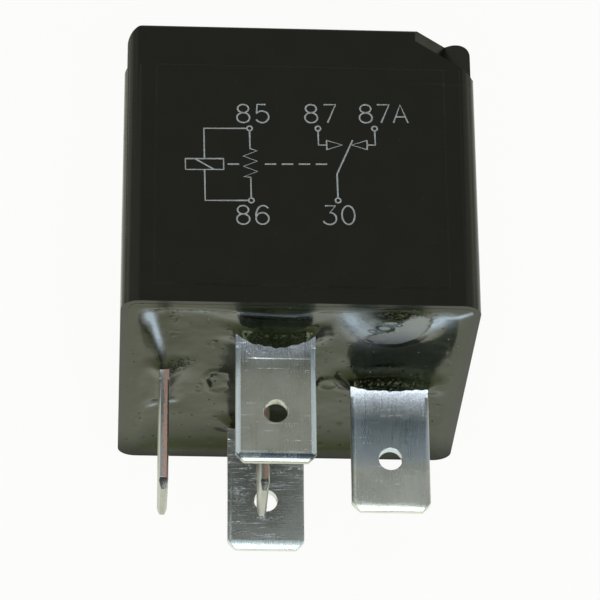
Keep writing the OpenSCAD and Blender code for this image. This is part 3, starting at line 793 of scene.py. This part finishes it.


# %% [markdown]
# ## Film, froth and painted highlights on the epoxy
# A hazy film with a few flat bubbles lies on the mound, and froth is beaded. Pale patches along the
# ridge, the corners and the mound's flanks are painted highlights, where the lamps would shine. Each
# becomes a mask on the mesh's points, made of turned ovals, and the finish reads the masks by name.

# %% Masks for film, froth and painted highlights
FILMS = [(7.3, 23.3, 1.9, 1.2, 14), (8.6, 24.9, 1.5, 2.0, -12)]
BUBBLES = [
    (7.0, 26.3, 0.7, 0.36, 4), (6.6, 25.2, 0.62, 0.44, -6),
    (5.7, 24.5, 0.3, 0.26, 0), (7.7, 25.8, 0.24, 0.2, 0),
]
BUBBLE_FILM, RING_W, RING_DEPTH = 0.4, 0.24, 1.4
BEADED = FROTHS[1:]
# Painted highlights: middle, half sizes, turn and strength of each pale patch.
PAINTED_HIGHLIGHTS = [
    (4.9, 24.0, 1.4, 2.7, 14, 0.75), (3.9, 25.4, 0.7, 1.1, 10, 0.6), (10.7, 24.9, 0.85, 1.4, -35, 1.2),
    (12.3, 26.4, 0.24, 1.6, -52, 1.1), (-11.75, 25.2, 0.4, 1.1, 12, 1.2), (-11.1, 22.3, 0.24, 2.4, 9, 1.3),
    (-7.6, 25.9, 1.3, 0.3, 0, 0.4), (-2.0, 26.3, 2.9, 0.35, 0, 0.4), (-11.2, 9.1, 0.5, 0.25, 0, 0.8),
    (-9.65, 9.4, 0.45, 0.25, 0, 0.8),
]


def oval(x, z, ox, oz, half_w, half_d, turn):
    """0 in the middle of an oval, turned by some degrees, and 1 at its rim."""
    c, d = math.cos(math.radians(turn)), math.sin(math.radians(turn))
    return np.hypot(((x - ox) * c + (z - oz) * d) / half_w, ((z - oz) * c - (x - ox) * d) / half_d)


def paint(piece, name, values):
    piece.data.attributes.new(name, "FLOAT", "POINT").data.foreach_set("value", values)
    print("Mask", name, "from", values.min().round(2), "to", values.max().round(2))


x, _, z = points_of(potting).T / MM
film = np.max([1 - oval(x, z, *place) for place in FILMS], axis=0)
rings = np.zeros(len(x))
for bubble in BUBBLES:
    away = oval(x, z, *bubble)
    film = np.where(away < 1, np.maximum(film, BUBBLE_FILM), film)
    rings = np.maximum(rings, np.exp(-(((away - 1) / RING_W) ** 2)))
paint(potting, "film", film - RING_DEPTH * rings)
paint(potting, "beaded", np.max([np.exp(-(oval(x, z, *patch[:4], 0) ** 4)) for patch in BEADED], axis=0))
# Mask of the painted highlights.
painted_highlight = sum(strength * np.exp(-(oval(x, z, *place) ** 2)) for *place, strength in PAINTED_HIGHLIGHTS)
paint(potting, "painted_highlight", (1 - rings) * painted_highlight)


# %% [markdown]
# The epoxy is nearly black, and most of what is seen of it is gloss: it mirrors the pale table and
# the dark undersides of the blades. A slow cloud dulls the gloss in patches, pits and froth break it,
# and the film and the painted highlights are pale and dull.

# %% Finish of the potting
HAZE_LOW, HAZE_HIGH = (0.07, 0.07, 0.085), (0.235, 0.245, 0.235)
HAZE_FROM, HAZE_TO = 22.6 * MM, 25.6 * MM
HIGHLIGHT_PALE = (0.44, 0.5, 0.56)
SPECK_PALE = (0.2, 0.21, 0.2)


def glossy_epoxy():
    material, shader, place = finish_of("glossy_epoxy", IOR=1.5, Specular_Tint=(0.9, 1.0, 0.52, 1))
    slow = cloud(place, 3.5, 4)
    fine = cloud(place, 0.35)
    mottle = shaken(slow, fine, 0.3)
    epoxy = blend(spread(mottle, 0.35, 0.65), EPOXY_DARK, EPOXY_LIGHT)

    ragged = plus(painted(place, "film"), times(fine, 0.45))
    film = spread(ragged, 0.14, 0.3)
    height = plus(axis_of(place, "Z"), times(mottle, 1.2 * MM))
    haze = blend(spread(height, HAZE_FROM, HAZE_TO), HAZE_LOW, HAZE_HIGH)
    epoxy = blend(film, epoxy, haze)

    # Painted highlights make the epoxy pale where the lamps would shine.
    thin = spread(cloud(place, 0.4, 2), 0.1, 0.6, 0.6)
    painted_highlight = spread(times(painted(place, "painted_highlight"), thin), 0, 1)
    painted_highlight = times(painted_highlight, spread(ragged, -0.02, 0.14, 1, 0))
    epoxy = blend(painted_highlight, epoxy, HIGHLIGHT_PALE)
    specks = times(dots(place, 1.2, 0.075), 0.6)
    hazy = times(largest(film, painted_highlight), 0.25)
    gloss = plus(spread(slow, 0.35, 0.7, 0.12, 0.24), hazy)
    plug_in(shader, Base_Color=blend(specks, epoxy, SPECK_PALE), Roughness=gloss)

    beside = mapped(place, Location=(0.1, 0, 0))
    patches = spread(cloud(place, 1.7), 0.42, 0.56)
    pits = times(dots(beside, 0.9, 0.13), patches, -1)
    beads = times(painted(place, "beaded"), dots(place, 0.3, 0.5))
    ripple = relief(shader, fine, 0.01)
    pitted = relief(shader, pits, 0.09, under=ripple)
    relief(shader, beads, 0.07, under=pitted)
    return material


settle(potting, "seal", "potting", glossy_epoxy())


# %% [markdown]
# ## Tin plate
# The blades are punched from tinned strip. Rolling draws the tin out in fine lines, and sockets
# scratch it across, with painted glints in the scratches. One blade has a band of painted bluish
# reflection, two roots have a painted highlight, one has a crease and a worn tip with a painted
# highlight line, and one is wiped all over. So one function makes the tin, each blade has its own
# marks as levels along y, and its own painted light tone makes its tin lighter or darker.

# %% Tin and its marks
TIN, TIN_DARK = (0.68, 0.71, 0.635), (0.57, 0.6, 0.52)
# White of the scratches: a painted glint.
SCRATCH_GLINT = (0.95, 0.96, 0.95)
# Painted highlight at the roots: pale and bluish near the potting.
ROOT_HIGHLIGHT_DIM, ROOT_HIGHLIGHT_PALE = (0.68, 0.72, 0.78), (0.95, 0.98, 1.0)
# A worn band at the tip, and a painted highlight line above it.
WORN_TIN, TIP_HIGHLIGHT = (0.09, 0.115, 0.14), (0.9, 0.97, 1.0)
# Painted bluish reflection of the dark potting, in a band on one blade.
PAINTED_BLUE_REFLECTION = (0.68, 0.77, 0.81)
ALONG_X, ALONG_Y = (260, 9000, 9000), (9000, 260, 9000)
WIPED_ACROSS = (330, 11000, 330)


def band_between(level, top, bottom, soft):
    """1 between two levels and 0 outside, with soft borders."""
    return times(spread(level, top, top - soft), spread(level, bottom - soft, bottom))


def worn_tip_and_highlight(tin, level, mottle, top, bottom):
    """A dark band where the tin is worn off, and a painted highlight line above it."""
    band = band_between(level, top, bottom, 0.05 * MM)
    band = times(band, spread(mottle, 0.42, 0.62, 1, 0.5))
    tin = blend(band, tin, WORN_TIN)
    # A painted highlight line above the worn band.
    above = spread(level, top + 0.2 * MM, top + 0.16 * MM)
    line = times(above, spread(level, top, top + 0.05 * MM), spread(mottle, 0.35, 0.6))
    return blend(line, tin, TIP_HIGHLIGHT)


# The tin turns pale and bluish towards the potting: a painted highlight.
def root_highlight(tin, speckle, ragged, root):
    root_sheen = blend(spread(speckle, 0.42, 0.6), ROOT_HIGHLIGHT_DIM, ROOT_HIGHLIGHT_PALE)
    return blend(spread(ragged, root, root + 1.5 * MM), tin, root_sheen)


# %% Tin plate of a blade
def tin_plate(name, shift, light_tone, dull=0.0, wiped=(0.66, 0.004), root=None, swell=0.0,
              crease=None, worn=None, blue_reflection=None):
    """Dull tin with fine lines along the strip, and wiping marks with their threshold and depth,
    whose white is a painted glint. The light tone is painted light that makes the whole blade lighter
    or darker. The tin swells above the root under a painted highlight, rises at the crease, and has a
    worn band with a painted highlight line and a band of painted bluish reflection."""
    material, shader, place = finish_of(name, Metallic=1.0)
    level = axis_of(place, "Y")
    place = mapped(place, Location=(shift,) * 3)
    lines = lines_along(place, ALONG_Y, 3)
    slow = cloud(place, 2.2, 4)
    speckle = cloud(place, 0.16, 2)
    mottle = shaken(slow, speckle, 0.5)
    ragged = shaken(level, slow, 1.5 * MM)

    # Painted light: the blade's light tone makes its tin lighter or darker.
    dark, light = (tuple(v * t for v, t in zip(colour, light_tone)) for colour in (TIN_DARK, TIN))
    tin = blend(spread(mottle, 0.36, 0.7), dark, light)
    if worn:
        tin = worn_tip_and_highlight(tin, level, mottle, *worn)
    # A band of painted bluish reflection.
    if blue_reflection:
        tin = blend(band_between(ragged, *blue_reflection, 1.2 * MM), tin, PAINTED_BLUE_REFLECTION)
    under = None
    if root:
        # A painted highlight near the root.
        tin = root_highlight(tin, speckle, ragged, root)
        climb = largest(minus(level, root), 0)
        under = relief(shader, times(sums("POWER", climb, 2), swell), 1 / MM)
    if crease:
        step = times(spread(level, crease - 0.09 * MM, crease), spread(slow, 0.35, 0.6))
        under = relief(shader, step, 0.016, under=under)

    # Real scratches, painted white and less metallic as glints.
    scratch = spread(lines_along(place, WIPED_ACROSS, 2), wiped[0], wiped[0] + 0.06)
    scratch = times(scratch, spread(speckle, 0.4, 0.55))
    glinting = times(scratch, spread(slow, 0.46, 0.56, 0, 0.7))
    gloss = spread(lines, 0.3, 0.7, 0.21 + dull, 0.28 + dull)
    plug_in(
        shader,
        Base_Color=blend(times(scratch, 0.8), tin, SCRATCH_GLINT),
        Metallic=spread(glinting, 0, 1, 1, 0),
        Roughness=plus(gloss, times(slow, 0.1)),
    )
    scored = relief(shader, scratch, wiped[1], under=under)
    relief(shader, lines, 0.0006, under=scored)
    return material


tip_85 = BLADES["85"].y
# Painted shade on the blades seen edge-on.
EDGE_ON_SHADE = (0.76, 0.74, 0.76)
# Light tones above 1 are painted light on blades that stand in shade.
blade_tins = {
    "30": tin_plate(
        "tin_30", 0.3, (1.28, 1.28, 1.28), root=-15.8 * MM, swell=38, blue_reflection=(-14.4 * MM, -18.8 * MM)
    ),
    "85": tin_plate(
        "tin_85", 0.4, (0.94, 0.94, 0.9), root=-15.2 * MM, swell=24, crease=-14.5 * MM,
        worn=(tip_85 + 0.68 * MM, tip_85 + 0.3 * MM),
    ),
    "86": tin_plate("tin_86", 0.5, (1.28, 1.27, 1.4), dull=0.06, wiped=(0.53, 0.035)),
    "87": tin_plate("tin_87", 0.6, EDGE_ON_SHADE),
    "87a": tin_plate("tin_87a", 0.7, EDGE_ON_SHADE),
}
print("Tins:", [tin.name for tin in blade_tins.values()])


# %% [markdown]
# ## Sheared edges and rolled metal
# The punch smears tin over half of each cut edge. The other half breaks and shows the bare copper
# alloy, so a ragged mask across the thickness tells the two apart. Coined borders and chamfers are
# burnished, and their pale, partly diffuse colour is a painted highlight. They share one finish with
# other strip metal: noise drawn out for the lines of the rolls, and stains.

# %% Finishes of edges and strip
COPPER, COPPER_DARK = (0.78, 0.5, 0.4), (0.5, 0.28, 0.21)
SMEARED_TIN = (0.68, 0.69, 0.66)


def sheared_edge():
    material, shader, place = finish_of("sheared_edge", Metallic=1.0)
    ragged = shaken(painted(place, "across"), cloud(place, 0.3, 4), 1.6)
    broken = spread(ragged, -0.15, 0.1)
    grain = cloud(place, 0.12)
    colour = blend(broken, SMEARED_TIN, blend(grain, COPPER, COPPER_DARK))
    gloss = spread(broken, 0, 1, 0.3, 0.5)
    plug_in(shader, Base_Color=colour, Metallic=spread(broken, 0, 1, 1.0, 0.5), Roughness=gloss)
    relief(shader, grain, 0.012)
    return material


def strip_metal(name, dark, light, rough_low, rough_high, stretch, metallic=1.0):
    material, shader, place = finish_of(name, Metallic=metallic)
    lines = lines_along(place, stretch, 3)
    slow = cloud(place, 1.8, 4)
    stains = spread(cloud(place, 0.6, 2), 0.55, 0.75)
    gloss = plus(spread(lines, 0.3, 0.7, rough_low, rough_high), times(stains, 0.12))
    plug_in(shader, Base_Color=blend(spread(slow, 0.35, 0.65), dark, light), Roughness=gloss)
    relief(shader, lines, 0.0015)
    return material


blade_edge = sheared_edge()
# Burnished tin whose pale, partly diffuse colour is a painted highlight.
burnished_highlight = strip_metal(
    "burnished_tin_highlight", (0.82, 0.92, 0.92), (0.9, 0.99, 0.99), 0.22, 0.34, ALONG_Y, metallic=0.75
)
print("Edges:", blade_edge.name, burnished_highlight.name)

# %% [markdown]
# ## The blades
# The solids have the blades' coined borders, chamfers and holes. Each copy's faces are sorted by
# their normals: wide faces get tin, cut edges the sheared finish, and the coined borders of one blade
# and the chamfer of another are burnished, with a painted highlight.

# %% Blades
CUT_FACING = 0.9
COINED_SLANT, COINED_LEVEL = (0.2, 0.5), 0.1
CHAMFER_SLANT, CHAMFER_FACING = (-0.95, -0.15), 0.2


def edge_kind(name, normal, wide, thin):
    """The slot of a face: 0 is tin, 1 a sheared edge and 2 burnished tin with a painted highlight."""
    if abs(normal[wide]) > CUT_FACING:
        return 1
    level = abs(normal.y) < COINED_LEVEL
    if name == "85" and level and COINED_SLANT[0] < abs(normal[wide]) < COINED_SLANT[1]:
        return 2
    sloping = CHAMFER_SLANT[0] < normal.y < CHAMFER_SLANT[1]
    return 2 if name == "86" and sloping and normal[thin] > CHAMFER_FACING else 0


for name, tip in BLADES.items():
    blade = finished_copy(f"terminal_{name}", f"blade_{name}", 0.05)
    wide, thin = (2, 0) if name in EDGE_ON else (0, 2)
    for face in blade.data.polygons:
        face.material_index = edge_kind(name, face.normal, wide, thin)
    broken_side = 1 if name in EDGE_ON else -1
    paint(blade, "across", broken_side * (points_of(blade)[:, thin] - tip[thin]) / (BLADE_T / 2))
    settle(blade, f"terminal_{name}", "tinned_brass", blade_tins[name], blade_edge, burnished_highlight)

# %% [markdown]
# ## Metals and mouldings inside the cover
# The works show as soon as the cover is lifted off. Yoke, core and armature are nickel plated, the
# spring is bronze, and the contacts are silver, darkened by arcs. The spool is natural nylon, milky
# and a little blotched, and the wire shines through its enamel.

# %% Finishes of the works
NYLON_DARK, NYLON_PALE = (0.66, 0.61, 0.47), (0.8, 0.77, 0.66)
WIRE_DARK, WIRE_PALE = (0.36, 0.1, 0.03), (0.52, 0.18, 0.06)


def natural_nylon():
    material, shader, place = finish_of(
        "natural_nylon", IOR=1.53, Subsurface_Weight=0.15, Subsurface_Scale=0.4 * MM
    )
    fibres = cloud(place, 0.13, 2)
    milky = blend(cloud(place, 2.4, 4), NYLON_DARK, NYLON_PALE)
    plug_in(shader, Base_Color=milky, Roughness=spread(fibres, 0.3, 0.7, 0.36, 0.52))
    relief(shader, fibres, 0.004)
    return material


def enamelled_copper():
    material, shader, place = finish_of(
        "enamelled_copper", Metallic=1.0, Coat_Weight=0.6, Coat_Roughness=0.12
    )
    slow = cloud(place, 1.4)
    colour = blend(spread(slow, 0.35, 0.65), WIRE_DARK, WIRE_PALE)
    plug_in(shader, Base_Color=colour, Roughness=spread(slow, 0.3, 0.7, 0.22, 0.34))
    return material


nickel, bronze, rivet_steel, silver, wire_tin = (strip_metal(*row) for row in [
    ("nickel_plate", (0.46, 0.44, 0.38), (0.6, 0.58, 0.52), 0.2, 0.34, ALONG_Y),
    ("spring_bronze", (0.5, 0.27, 0.13), (0.68, 0.4, 0.22), 0.22, 0.34, ALONG_X),
    ("rivet_steel", (0.48, 0.46, 0.42), (0.64, 0.62, 0.57), 0.26, 0.42, (2500,) * 3),
    ("contact_silver", (0.5, 0.46, 0.4), (0.84, 0.83, 0.8), 0.24, 0.42, (4000,) * 3),
    ("wire_tin", (0.5, 0.5, 0.46), (0.66, 0.66, 0.62), 0.22, 0.34, (9000, 9000, 260)),
])
nylon, copper = natural_nylon(), enamelled_copper()
print("Finishes so far:", len(bpy.data.materials))

# %% [markdown]
# ## The works
# These pieces have their true form in the solids. A press or a mould leaves a small round on every
# edge, so each is a copy with a small bevel. What hangs on the armature rides on it.

# %% Solids of the works
WORKS = {
    "housing": [
        ("header", "header_plate", 0.12, "header_plastic", header_black),
        ("yoke", "yoke_frame", 0.1, "plated_steel", nickel),
        ("core", "core_pin", 0.1, "plated_steel", nickel),
        ("bobbin", "spool", 0.12, "bobbin_plastic", nylon),
        ("spring_rivets", "leg_rivets", 0.06, "rivet_steel", rivet_steel),
        ("make_contact", "contact_make", 0.06, "contact_silver", silver),
        ("break_contact", "contact_break", 0.06, "contact_silver", silver),
        ("winding_leads", "coil_ends", 0.02, "enamelled_copper", copper),
        ("resistor_leads", "resistor_wires", 0.04, "tinned_brass", wire_tin),
    ],
    "armature": [
        ("armature", "armature_plate", 0.08, "plated_steel", nickel),
        ("armature_rivets", "plate_rivets", 0.06, "rivet_steel", rivet_steel),
        ("moving_contact", "contact_moving", 0.06, "contact_silver", silver),
    ],
}
SLOTTED = ("header",)
for body, rows in WORKS.items():
    for node, name, edge, slot, finish in rows:
        piece = finished_copy(node, name, edge, tiled=node in SLOTTED)
        settle(piece, node, slot, finish, body=body)

# %% [markdown]
# ## The winding
# The solid is a plain tube, but on a real coil the outer layer of wire shows as fine turns. So a
# circle, the wire's section, is wound up round the coil's axis by a Screw modifier, and a slimmer
# copy of the tube closes it from inside.

# %% Turns of wire
WIRE_R = 0.2 * MM
WIRE_SIDES, TURN_STEPS = 10, 56
TURNS = 24
wound_low, wound_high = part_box("winding")
coil_middle = (wound_low + wound_high) / 2
coil_r = (wound_high.x - wound_low.x) / 2
pitch = (wound_high.y - wound_low.y - 2 * WIRE_R) / TURNS
tube = finished_copy("winding", "coil_turns", 0.05)
edit_all(tube)
slimmer = 1 - WIRE_R / coil_r
bpy.ops.transform.resize(value=(slimmer, 1, slimmer), center_override=coil_middle)
nothing()
first_turn = (coil_middle.x, wound_low.y + WIRE_R, coil_middle.z)
bpy.ops.mesh.primitive_circle_add(vertices=WIRE_SIDES, radius=WIRE_R, location=first_turn)
wire = bpy.context.object
edit_all(wire)
bpy.ops.transform.translate(value=(coil_r - WIRE_R, 0, 0))
apply_modifier(
    wire, "SCREW", axis="Y", screw_offset=pitch, iterations=TURNS, steps=TURN_STEPS,
    render_steps=TURN_STEPS, use_merge_vertices=False,
)
apply_place()
edit_all(wire)
bpy.ops.mesh.normals_make_consistent(inside=False)
print("Turns:", TURNS, "at a pitch of", round(pitch / MM, 3), "mm")

# %% Winding
only(tube)
wire.select_set(True)
bpy.ops.object.join()
coil = bpy.context.object
smooth(coil, 50)
coil.data.materials.clear()
settle(coil, "winding", "enamelled_copper", copper)

# %% [markdown]
# ## The contact spring
# One bronze strip is hinge, return spring and contact carrier. Its leg is riveted to the yoke and its
# arm to the armature, so it bends as the armature moves.

# %% Contact spring
spring = finished_copy("contact_spring", "hinge_spring", 0.03)
spring.data.materials.append(bronze)
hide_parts("contact_spring")
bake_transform(spring)
print(spring.name, len(spring.data.polygons), "faces")

# %% [markdown]
# ## The resistor
# The resistor across the coil is dipped in lacquer, which rounds its caps: a wide bevel with many
# segments. The rings of its colour code follow the distance along the body.

# %% Resistor
RINGS = {
    -1.6: (0.03, 0.08, 0.35), -0.7: (0.2, 0.2, 0.2), 0.2: (0.16, 0.06, 0.02), 1.6: (0.6, 0.4, 0.1),
}
RING_HALF = 0.22 * MM
LACQUER_DARK, LACQUER_PALE = (0.48, 0.33, 0.15), (0.62, 0.46, 0.25)


def banded_lacquer(middle):
    material, shader, place = finish_of("banded_lacquer", IOR=1.5, Coat_Weight=0.4, Coat_Roughness=0.1)
    slow = cloud(place, 0.9)
    along = shaken(minus(axis_of(place, "Z"), middle), slow, 0.12 * MM)
    colour = blend(slow, LACQUER_DARK, LACQUER_PALE)
    for shift, ring in RINGS.items():
        away = sums("ABSOLUTE", minus(along, shift * MM))
        colour = blend(spread(away, RING_HALF, RING_HALF * 0.85), colour, ring)
    plug_in(shader, Base_Color=colour, Roughness=spread(slow, 0.3, 0.7, 0.25, 0.4))
    relief(shader, slow, 0.02)
    return material


resistor_low, resistor_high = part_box("resistor")
resistor = finished_copy("resistor", "resistor_body", 0.3, segments=5)
resistor_lacquer = banded_lacquer((resistor_low.z + resistor_high.z) / 2)
settle(resistor, "resistor", "resistor_lacquer", resistor_lacquer)

# %% [markdown]
# ## The table
# The relay lies on pale paper that the camera sees as white. Glossy surfaces mirror the paper too,
# and for them it carries painted light: a warm painted pool of light near the relay, brighter on the
# left and fading with the distance, and a painted contact shadow round the cover. The Light Path node
# tells the rays apart.

# %% Floor
FLOOR_SIZE = 4
FLOOR_DROP = 0.02 * MM
FLOOR_WASH = 0.94
SEEN_WHITE = (1, 1, 0.99)
LIGHT_POOL_LEFT, LIGHT_POOL_RIGHT, LIGHT_POOL_FAR = (1.0, 1.0, 0.87), (0.93, 0.95, 0.89), (0.45, 0.46, 0.42)
LIGHT_POOL_HALF_W = 25 * MM
LIGHT_POOL_FROM, LIGHT_POOL_TO = 35 * MM, 160 * MM
CONTACT_REACH, CONTACT_DARK = 2.2 * MM, 0.3
nothing()
bpy.ops.mesh.primitive_plane_add(size=FLOOR_SIZE, location=(0, 0, cad_box[0].z - FLOOR_DROP))
floor = bpy.context.object
floor.name = "floor"


# A painted pool of light in what glossy surfaces mirror: warm and brighter near the relay and on the left,
# dimmer far away.
def painted_light_pool(spot):
    across = spread(axis_of(spot, "X"), -LIGHT_POOL_HALF_W, LIGHT_POOL_HALF_W)
    near = blend(across, LIGHT_POOL_LEFT, LIGHT_POOL_RIGHT)
    away = add(spot, "VectorMath", operation="LENGTH", Vector=spot).outputs["Value"]
    return blend(spread(away, LIGHT_POOL_FROM, LIGHT_POOL_TO), near, LIGHT_POOL_FAR)


def contact_shadow(spot):
    """A painted contact shadow: dark close to the cover's footprint, and 1 further out."""
    half = (cover_high - cover_low) / 2
    gaps = [
        largest(minus(sums("ABSOLUTE", axis_of(spot, axis)), edge), 0)
        for axis, edge in (("X", half.x), ("Y", half.y))
    ]
    return spread(plus(*gaps), 0, CONTACT_REACH, CONTACT_DARK, 1)


def pale_paper():
    material, shader, spot = finish_of("pale_paper", Base_Color=(0.85, 0.85, 0.84, 1), Roughness=0.9)
    path = add(spot, "LightPath").outputs
    by_eye = path["Is Camera Ray"]
    seen = largest(by_eye, path["Is Glossy Ray"], path["Is Transmission Ray"])
    # Mirrored rays see the painted pool of light and the painted contact shadow; the camera sees plain
    # white.
    light_tone = blend(by_eye, painted_light_pool(spot), SEEN_WHITE)
    strength = largest(contact_shadow(spot), by_eye)
    white = add(spot, "Emission", Color=light_tone, Strength=strength).outputs["Emission"]
    washed = add(spot, "MixShader")
    for socket, output in zip(washed.inputs, (times(seen, FLOOR_WASH), shader.outputs["BSDF"], white)):
        feed(socket, output)
    plug_in(material.node_tree.nodes["Material Output"], Surface=washed.outputs["Shader"])
    return material


floor.data.materials.append(pale_paper())
print("Floor:", FLOOR_SIZE, "m wide")

# %% [markdown]
# ## The room
# The world is a dim room: darker behind the camera, paler behind the relay, and brightest low over
# the far edge of the table, which the cover's roof and the blades' undersides mirror. The camera sees
# plain white.

# %% World
ROOM_FRONT, ROOM_BEHIND, ROOM_LOW = 0.05, 0.31, 0.62
LOW_TONE = (0.97, 0.98, 0.85)
world = bpy.data.worlds.new("studio")
bpy.context.scene.world = world
world.use_nodes = True
sky = world.node_tree
direction = add(sky, "TexCoord").outputs["Generated"]
behind = spread(axis_of(direction, "Y"), -0.3, 0.4)
low = times(behind, spread(axis_of(direction, "Z"), 0.45, 0.15))
level = plus(spread(behind, 0, 1, ROOM_FRONT, ROOM_BEHIND), times(low, ROOM_LOW))
light_tone = blend(low, (1, 1, 1), LOW_TONE)
path = add(sky, "LightPath").outputs
seen = largest(path["Is Camera Ray"], path["Is Transmission Ray"])
plug_in(
    sky.nodes["Background"],
    Strength=add(sky, "Mix", Factor=seen, A=level, B=1.0).outputs["Result"],
    Color=blend(seen, light_tone, SEEN_WHITE),
)
print("Room: levels from", ROOM_FRONT, "to", round(ROOM_BEHIND + ROOM_LOW, 2))

# %% [markdown]
# ## The lamps
# Soft area lamps stand round the table. Two low windows and a strip shine in the blades and the
# fillets, and a fill lamp lights only what is dull, so that colours come out about as written.
# Brightness is per area, so that a lamp can be resized.

# %% Lamps
COOL = (0.86, 0.94, 1.0)


def lamp(name, place, width, depth, brightness, lights=True, shines=True):
    """A soft lamp aimed at the relay. It lights what is dull and shines in what is glossy."""
    nothing()
    bpy.ops.object.light_add(type="AREA", location=place)
    light = bpy.context.object
    light.name = name
    light.data.shape = "RECTANGLE"
    light.data.size, light.data.size_y = width, depth
    light.data.energy = brightness * math.pi * width * depth
    light.data.color = COOL
    light.rotation_euler = (MIDDLE - Vector(place)).to_track_quat("-Z", "Y").to_euler()
    light.visible_camera = False
    light.visible_diffuse = lights
    light.visible_glossy = shines
    print("Lamp", name, round(light.data.energy, 3), "W")


lamp("overhead", (0.0, -0.1, 0.8), 0.36, 0.17, 5.0)
lamp("softbox_left", (-0.40, 0.36, 0.60), 0.46, 0.56, 0.22)
lamp("softbox_right", (0.5, 0.36, 0.53), 0.36, 0.44, 0.2)
lamp("window_left", (-0.42, -0.68, 0.1), 0.3, 0.18, 4)
lamp("window_right", (0.5, -0.62, 0.1), 0.24, 0.18, 4)
lamp("strip_front", (0.1, -0.77, 0.33), 0.3, 0.05, 3.5, lights=False)
lamp("fill", (0.0, -0.6, 0.6), 0.6, 0.6, 4.0, shines=False)

# %% [markdown]
# ## The camera
# The camera stands where the photograph was taken, fitted to the corners of the cover and the tips of
# the blades. It looks down through a long lens, and a small shift gives the photograph's framing.

# %% Camera
CAMERA_PLACE = (-14.34 * MM, -136.3 * MM, 266.98 * MM)
CAMERA_TURN = [math.radians(angle) for angle in (27.114, -3.094, -0.413)]
nothing()
bpy.ops.object.camera_add(location=CAMERA_PLACE, rotation=CAMERA_TURN)
camera = bpy.context.object
camera.data.sensor_width = 36
camera.data.lens = 209.4
camera.data.shift_x = 0.0078
camera.data.shift_y = 0.0349
camera.data.clip_start = 0.01
bpy.context.scene.camera = camera
bpy.context.scene.view_settings.view_transform = "Standard"
away = (camera.location - MIDDLE).length
print("Camera:", round(camera.data.lens, 1), "mm lens,", round(away, 3), "m away")
